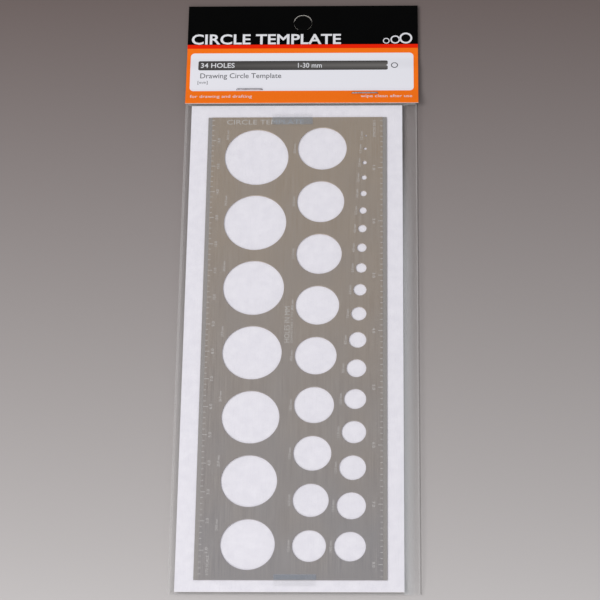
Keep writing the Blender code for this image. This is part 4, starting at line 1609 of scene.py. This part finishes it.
@dataclass
class HeaderCard:
    """Printed board folded over the sleeve's mouth, with the hang hole die-cut through both panels."""

    layers: Layers
    front_print: bpy.types.Material
    back_print: bpy.types.Material
    bare: bpy.types.Material
    core: bpy.types.Material
    white_ink: bpy.types.Material
    grey_ink: bpy.types.Material
    hole: HangHole
    clearance: float = 0.1 * MM
    ink_height: float = 0.01 * MM
    columns: int = 30

    def centre_line(self) -> list[tuple[float, float]]:
        """Middle of the board from the front's lower edge, over the fold, to the back's lower edge.

        Returns:
            (y, z) points.
        """
        bottom = self.layers.panel[0].y
        fold_radius = (self.layers.panel_closed - self.layers.back_middle) / 2
        fold_y = self.layers.header_fold[1].y - self.layers.board / 2 - fold_radius
        rows = spaced(bottom, self.layers.mouth_end, 20)
        rows += spaced(self.layers.panel_start, self.layers.panel_end, 14)
        rows += spaced(self.layers.panel_end, fold_y, 6)[1:]
        line = [(y, self.layers.panel_height(y)) for y in rows]
        for angle in spaced(math.pi / 2, -math.pi / 2, 16)[1:-1]:
            line.append((fold_y + fold_radius * math.cos(angle),
                         self.layers.back_middle + fold_radius + fold_radius * math.sin(angle)))
        line += [(y, self.layers.back_middle) for y in spaced(fold_y, self.layers.back_panel[0].y, 12)]
        return line

    def offset_line(self, offset: float) -> list[Vector]:
        """Centre line moved sideways, and held under the header's top face.

        Args:
            offset: distance in metres, positive out of the fold and negative into it.

        Returns:
            (y, z) points.
        """
        points = [Vector(point) for point in self.centre_line()]
        moved = []
        for index, point in enumerate(points):
            along = (points[min(index + 1, len(points) - 1)] - points[max(index - 1, 0)]).normalized()
            spot = point + Vector((-along.y, along.x)) * offset
            moved.append(Vector((spot.x, min(spot.y, self.layers.panel[1].z))))
        return moved

    def front_surface(self) -> list[tuple[float, float]]:
        """Printed face of the front panel.

        Returns:
            (y, z) points from its lower edge to the fold.
        """
        line = [tuple(point) for point in self.offset_line(self.layers.board / 2)]
        top = max(range(len(line)), key=lambda index: line[index][0])
        return line[:top + 1]

    def folded_mesh(self) -> bpy.types.Mesh:
        """Board as one closed sheet round its fold, before the hang hole is cut.

        Returns:
            Its mesh, with slots for the front print, the back print, the bare inside and the cut edge.
        """
        xs = spaced(self.layers.panel[0].x, self.layers.panel[1].x, self.columns)
        cells = range(len(xs) - 1)
        half = self.layers.board / 2
        builder = bmesh.new()
        outside, inside = [[[builder.verts.new((x, spot.x, spot.y)) for x in xs]
                            for spot in self.offset_line(offset)] for offset in (half, -half)]
        front_rows = len(self.front_surface()) - 1
        for grid in (outside, inside):
            for row, (near, far) in enumerate(zip(grid, grid[1:])):
                printed = 0 if row < front_rows else 1
                for index in cells:
                    face = builder.faces.new((near[index], near[index + 1], far[index + 1], far[index]))
                    face.material_index = printed if grid is outside else 2
        walls = []
        for row in (0, -1):
            upper, lower = outside[row], inside[row]
            for index in cells:
                corners = (upper[index], upper[index + 1], lower[index + 1], lower[index])
                walls.append(builder.faces.new(corners))
        for column in (0, -1):
            for upper, next_upper, lower, next_lower in zip(outside, outside[1:], inside, inside[1:]):
                corners = (upper[column], next_upper[column], next_lower[column], lower[column])
                walls.append(builder.faces.new(corners))
        for wall in walls:
            wall.material_index = 3
        bmesh.ops.recalc_face_normals(builder, faces=builder.faces)
        return mesh_from(builder, "header")

    def cutter(self, node: str, middle: float) -> bpy.types.Object:
        """Block that cuts the hang hole through one panel.

        Args:
            node: node of the tab that fills the hole.
            middle: height of the panel's middle.

        Returns:
            The block, whose foot carries the print and whose round wall carries the cut edge.
        """
        half = self.layers.board / 2
        outline = self.hole.outline(self.hole.radius, self.hole.crease(node))
        block = prism(outline, middle - half - self.clearance, middle + half + self.clearance)
        made = new_object(f"cutter_{node}", mesh_from(block, "cutter"), [self.core] * 4)
        crease_area = self.hole.radius * half
        for polygon in made.data.polygons:
            at_crease = polygon.normal.y < -0.9 and polygon.area > crease_area
            polygon.material_index = 0 if at_crease else 3
        return made

    def build_board(self) -> None:
        """Build the folded board."""
        finishes = [self.front_print, self.back_print, self.bare, self.core]
        carrier = new_object("header_board", self.folded_mesh(), finishes)
        cutters = [self.cutter("hang_tab_front", self.layers.panel_closed),
                   self.cutter("hang_tab_back", self.layers.back_middle)]
        for cutter in cutters:
            modifier = carrier.modifiers.new(cutter.name, "BOOLEAN")
            modifier.operation = "DIFFERENCE"
            modifier.solver = "EXACT"
            modifier.object = cutter
        mesh = plain_mesh(carrier)
        for cutter in cutters:
            bpy.data.objects.remove(cutter)
        board = new_object("header_board", mesh, finishes, 30.0)
        place(board, Body.POUCH, Slot.HEADER_PRINT, "header_front_panel", "header_back_panel",
              "header_fold")

    def build_lettering(self) -> None:
        """Build the printed words and the plain ring device."""
        low, high = self.layers.panel
        words = {
            "header_words_white": (self.white_ink, [
                Lettering("CIRCLE TEMPLATE", 5.9 * MM, 72.0 * MM, weight=0.02).flat_mesh(
                    (low.x + 1.9 * MM, low.y + 34.6 * MM)),
                Lettering("34 HOLES", 3.0 * MM, 16.2 * MM, weight=0.012).flat_mesh(
                    (low.x + 6.8 * MM, low.y + 20.9 * MM)),
                Lettering("1-30 mm", 3.0 * MM, 11.4 * MM, weight=0.006).flat_mesh(
                    (low.x + 53.4 * MM, low.y + 20.8 * MM)),
                Lettering("for drawing and drafting", 2.3 * MM, 29.6 * MM).flat_mesh(
                    (low.x + 2.1 * MM, low.y + 2.9 * MM)),
                Lettering("wipe clean after use", 2.3 * MM, 24.5 * MM).flat_mesh(
                    (high.x - 2.9 * MM, low.y + 2.9 * MM), from_right=True)]),
            "header_words_grey": (self.grey_ink, [
                Lettering("Drawing Circle Template", 3.7 * MM, 38.8 * MM, weight=0.006).flat_mesh(
                    (low.x + 6.7 * MM, low.y + 14.1 * MM)),
                Lettering("[mm]", 2.1 * MM, 4.8 * MM).flat_mesh((low.x + 5.5 * MM, low.y + 11.4 * MM))]),
        }
        surface = self.front_surface()
        for name, (ink, flats) in words.items():
            mesh = joined(name, flats, self.ink_height)
            drape(mesh, surface)
            place(new_object(name, mesh, [ink]), Body.POUCH, Slot.HEADER_PRINT)
        rings = self.ring_device()
        drape(rings, surface)
        place(new_object("header_ring_device", rings, [self.white_ink, self.grey_ink]), Body.POUCH,
              Slot.HEADER_PRINT)

    def ring_device(self) -> bpy.types.Mesh:
        """Plain rings of rising size at the black band's right, and a small one at the grey bar's end.

        Returns:
            Flat rings, white in slot 0 and grey in slot 1.
        """
        low, high = self.layers.panel
        rings = [(high.x - 15.2 * MM, low.y + 36.4 * MM, 1.6 * MM, 0),
                 (high.x - 10.9 * MM, low.y + 37.1 * MM, 2.3 * MM, 0),
                 (high.x - 5.8 * MM, low.y + 37.9 * MM, 3.1 * MM, 0),
                 (low.x + 99.6 * MM, low.y + 22.2 * MM, 1.7 * MM, 1)]
        builder = bmesh.new()
        facets = 40
        angles = spaced(0.0, 2 * math.pi, facets)[:-1]
        for x, y, radius, ink in rings:
            bore = radius * 0.72
            loops = []
            for reach, z in ((radius, 0.0), (radius, self.ink_height), (bore, self.ink_height), (bore, 0.0)):
                places = [(x + reach * math.cos(angle), y + reach * math.sin(angle), z) for angle in angles]
                loops.append([builder.verts.new(spot) for spot in places])
            for first, second in zip(loops, loops[1:] + loops[:1]):
                for index in range(facets):
                    follower = (index + 1) % facets
                    corners = (first[index], first[follower], second[follower], second[index])
                    builder.faces.new(corners).material_index = ink
        bmesh.ops.recalc_face_normals(builder, faces=builder.faces)
        return mesh_from(builder, "rings")

    def build(self) -> None:
        """Build the board and its print."""
        self.build_board()
        self.build_lettering()


@dataclass
class HangTab:
    """Die-cut disc that fills a hang hole and folds forward about its crease.

    The die crushes its printed rim a little, and leaves a torn white edge on the upper arc.
    """

    name: str
    node: str
    body: Body
    slot: Slot
    hole: HangHole
    face: bpy.types.Material
    back: bpy.types.Material
    core: bpy.types.Material
    gap: float = 0.16 * MM
    torn_from: float = 0.3
    crush: float = 0.15 * MM
    crush_depth: float = 0.1 * MM

    def build(self) -> None:
        """Build the tab."""
        low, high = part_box(self.node)
        radius, foot = self.hole.radius - self.gap, self.hole.crease(self.node) + self.gap
        outer = self.hole.outline(radius, foot)
        inner = self.hole.outline(radius - self.crush, foot + self.crush)
        levels = [(outer, low.z), (outer, high.z - self.crush_depth), (inner, high.z)]
        builder = bmesh.new()
        rings = [[builder.verts.new((x, y, z)) for x, y in outline] for outline, z in levels]
        builder.faces.new(rings[0][::-1]).material_index = 1
        builder.faces.new(rings[2]).material_index = 0
        for level, (near, far) in enumerate(zip(rings, rings[1:])):
            for index in range(len(near)):
                follower = (index + 1) % len(near)
                wall = builder.faces.new((near[index], near[follower], far[follower], far[index]))
                torn = outer[index][1] > self.hole.centre() + self.torn_from * self.hole.radius
                crease = index == len(near) - 1
                wall.material_index = 2 if torn or (level == 0 and not crease) else 0
        bmesh.ops.recalc_face_normals(builder, faces=builder.faces)
        tab = new_object(self.name, mesh_from(builder, self.name), [self.face, self.back, self.core], 25.0)
        place(tab, self.body, self.slot, self.node)


@dataclass
class Staple:
    """Wire staple: flat crown, two legs through the pack and their ends clinched inwards."""

    name: str
    node: str
    wire: bpy.types.Material
    thickness: float = 0.5 * MM
    bend: float = 0.6 * MM
    tail: float = 4.4 * MM
    facets: int = 8

    def build(self) -> None:
        """Build the staple."""
        low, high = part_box(self.node)
        centre = (low + high) / 2
        half_wire = self.thickness / 2
        bend = self.bend
        side = (high.x - low.x) / 2 - half_wire
        crown, foot = high.z - half_wire, low.z + half_wire
        half = [(0.0, crown), (side - bend, crown)]
        for angle in spaced(math.pi / 2, 0.0, self.facets)[1:]:
            half.append((side - bend * (1 - math.cos(angle)), crown - bend * (1 - math.sin(angle))))
        for angle in spaced(0.0, -math.pi / 2, self.facets):
            half.append((side - bend * (1 - math.cos(angle)), foot + bend * (1 + math.sin(angle))))
        half += [(side - self.tail * 0.7, foot), (side - self.tail, foot)]
        line = [(-x, z) for x, z in half[:0:-1]] + half
        curve = bpy.data.curves.new(self.name, "CURVE")
        curve.dimensions = "3D"
        spline = curve.splines.new("POLY")
        spline.points.add(len(line) - 1)
        for point, (x, z) in zip(spline.points, line):
            point.co = (centre.x + x, centre.y, z, 1.0)
        curve.bevel_mode = "ROUND"
        curve.bevel_depth = half_wire
        curve.bevel_resolution = 4
        curve.use_fill_caps = True
        carrier = bpy.data.objects.new(self.name, curve)
        bpy.context.scene.collection.objects.link(carrier)
        mesh = plain_mesh(carrier)
        flattening = (high.y - low.y) / self.thickness
        for vertex in mesh.vertices:
            vertex.co.y = centre.y + (vertex.co.y - centre.y) * flattening
        place(new_object(self.name, mesh, [self.wire], 60.0), Body.POUCH, Slot.WIRE, self.node)


@dataclass
class Studio:
    """Pale floor, soft light from the left and the near side, and a long lens looking down the pack."""

    floor: bpy.types.Material
    floor_half_width: float = 4.0
    floor_drop: float = 0.01 * MM
    sky: str = "dcdde0"
    sky_strength: float = 0.55
    key_spot: Point = (-1.05, -0.35, 1.4)
    key_size: float = 0.8
    key_power: float = 14.0
    front_spot: Point = (-0.3, -1.2, 1.2)
    front_size: float = 1.2
    front_power: float = 11.0
    distance: float = 1253.4 * MM
    lens: float = 164.4
    tilt: float = 27.651
    lean: float = 1.628
    turn: float = 0.758
    aim: Point = (2.46 * MM, 19.735 * MM, 0.0)

    def build_camera(self) -> None:
        """Build the camera."""
        data = bpy.data.cameras.new("camera")
        data.lens = self.lens
        data.sensor_width = 36.0
        data.clip_end = 20.0
        camera = bpy.data.objects.new("camera", data)
        camera.rotation_euler = Euler([math.radians(angle) for angle in (self.tilt, self.lean, self.turn)])
        back = camera.rotation_euler.to_matrix() @ Vector((0.0, 0.0, self.distance))
        low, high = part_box("template_plate")
        middle = Vector(((low.x + high.x) / 2, (low.y + high.y) / 2, high.z))
        camera.location = middle + Vector(self.aim) + back
        bpy.context.scene.collection.objects.link(camera)
        bpy.context.scene.camera = camera

    def build_light(self, name: str, spot: Point, size: float, power: float) -> None:
        """Build one square soft light aimed at the pack's middle.

        Args:
            name: name of the light.
            spot: its place.
            size: its side in metres.
            power: its power in watts.
        """
        data = bpy.data.lights.new(name, "AREA")
        data.size = size
        data.energy = power
        light = bpy.data.objects.new(name, data)
        light.location = spot
        light.rotation_euler = (-Vector(spot)).to_track_quat("-Z", "Y").to_euler()
        bpy.context.scene.collection.objects.link(light)

    def build(self) -> None:
        """Build the floor, the lights, the world and the camera."""
        bpy.context.scene.view_settings.view_transform = "Standard"
        builder = bmesh.new()
        bmesh.ops.create_grid(builder, x_segments=2, y_segments=2, size=self.floor_half_width)
        ground = new_object("studio_floor", mesh_from(builder, "floor"), [self.floor])
        ground.location.z = -self.floor_drop
        world = bpy.data.worlds.new("studio")
        world.use_nodes = True
        background = world.node_tree.nodes["Background"]
        background.inputs["Color"].default_value = linear(self.sky)
        background.inputs["Strength"].default_value = self.sky_strength
        bpy.context.scene.world = world
        self.build_light("key_softbox", self.key_spot, self.key_size, self.key_power)
        self.build_light("front_softbox", self.front_spot, self.front_size, self.front_power)
        self.build_camera()


def main() -> None:
    """Build every piece of the pack, then the studio."""
    logging.basicConfig(level=logging.INFO, format="%(message)s")
    layers = Layers()
    metal = EtchedMetal().build()
    half_etch = HalfEtchedMetal("nickel_silver_half_etched", "aba6a3", "a29d9a").build()
    marks = HalfEtchedMetal("nickel_silver_etched_marks", "cbc8c6", "bfbcba", 0.7, 0.3).build()
    title_marks = HalfEtchedMetal("nickel_silver_etched_title", "c5c1bc", "b8b4b0", 0.68, 0.35).build()
    board, core = WhiteBoard().build(), CutBoard().build()
    bare = WhiteBoard("header_board_uncoated_back", "d9d6d2", "cfccc7", 0.85).build()
    corner, far = layers.panel
    art = {"left": corner.x, "bottom": corner.y, "width": far.x - corner.x}
    front_print = HeaderPrint("header_offset_print_front", **art).build()
    back_print = HeaderPrint("header_offset_print_back", with_panel=False, **art).build()
    tab_ink = PrintInk("tab_black_offset_ink", "020202", "040404").build()
    dry = ClearTape("acetate_tape_on_board", "b4bcc6", 0.012).build()
    # Painted reflection: the tape's blue tint on metal stands in for the pale sky it reflects, over its
    # wetted look.
    wetted = ClearTape("acetate_tape_on_metal", "a2b4c8", 0.14).build()
    hole = HangHole()
    TemplateSheet(layers, metal, half_etch, marks, title_marks).build()
    BackingCard(layers, board, core).build()
    TapeStrip("tape_strip_top", "tape_top", layers, dry, wetted, True).build()
    TapeStrip("tape_strip_bottom", "tape_bottom", layers, dry, wetted, False).build()
    film = ClearFilm("polypropylene_film_cast", layers.panel[0].y, layers.card[1].x).build()
    side = layers.weld_right[1].x
    # Painted edge shadow: the left weld faces the light and gets none; the right one's starts 0.7 mm inside
    # the sleeve's outer edge.
    left_weld = WeldedFilm("polypropylene_weld_left", 2 * side).build()
    right_weld = WeldedFilm("polypropylene_weld_right", side - 0.7 * MM).build()
    FilmSleeve(layers, film, left_weld, right_weld).build()
    white_ink = PrintInk("header_white_ink", "e9e9ec", "dedee2").build()
    grey_ink = PrintInk("header_grey_ink", "5d5d60", "6a6a6e").build()
    HeaderCard(layers, front_print, back_print, bare, core, white_ink, grey_ink, hole).build()
    HangTab("hang_disc_front", "hang_tab_front", Body.FRONT_TAB, Slot.HEADER_BLACK, hole,
            tab_ink, bare, core).build()
    HangTab("hang_disc_back", "hang_tab_back", Body.BACK_TAB, Slot.HEADER_BOARD, hole,
            bare, back_print, core, gap=0.36 * MM).build()
    wire = ZincWire().build()
    Staple("staple_wire_left", "staple_left", wire).build()
    Staple("staple_wire_right", "staple_right", wire).build()
    Studio(FloorPaper().build()).build()


if __name__ == "__main__":
    main()
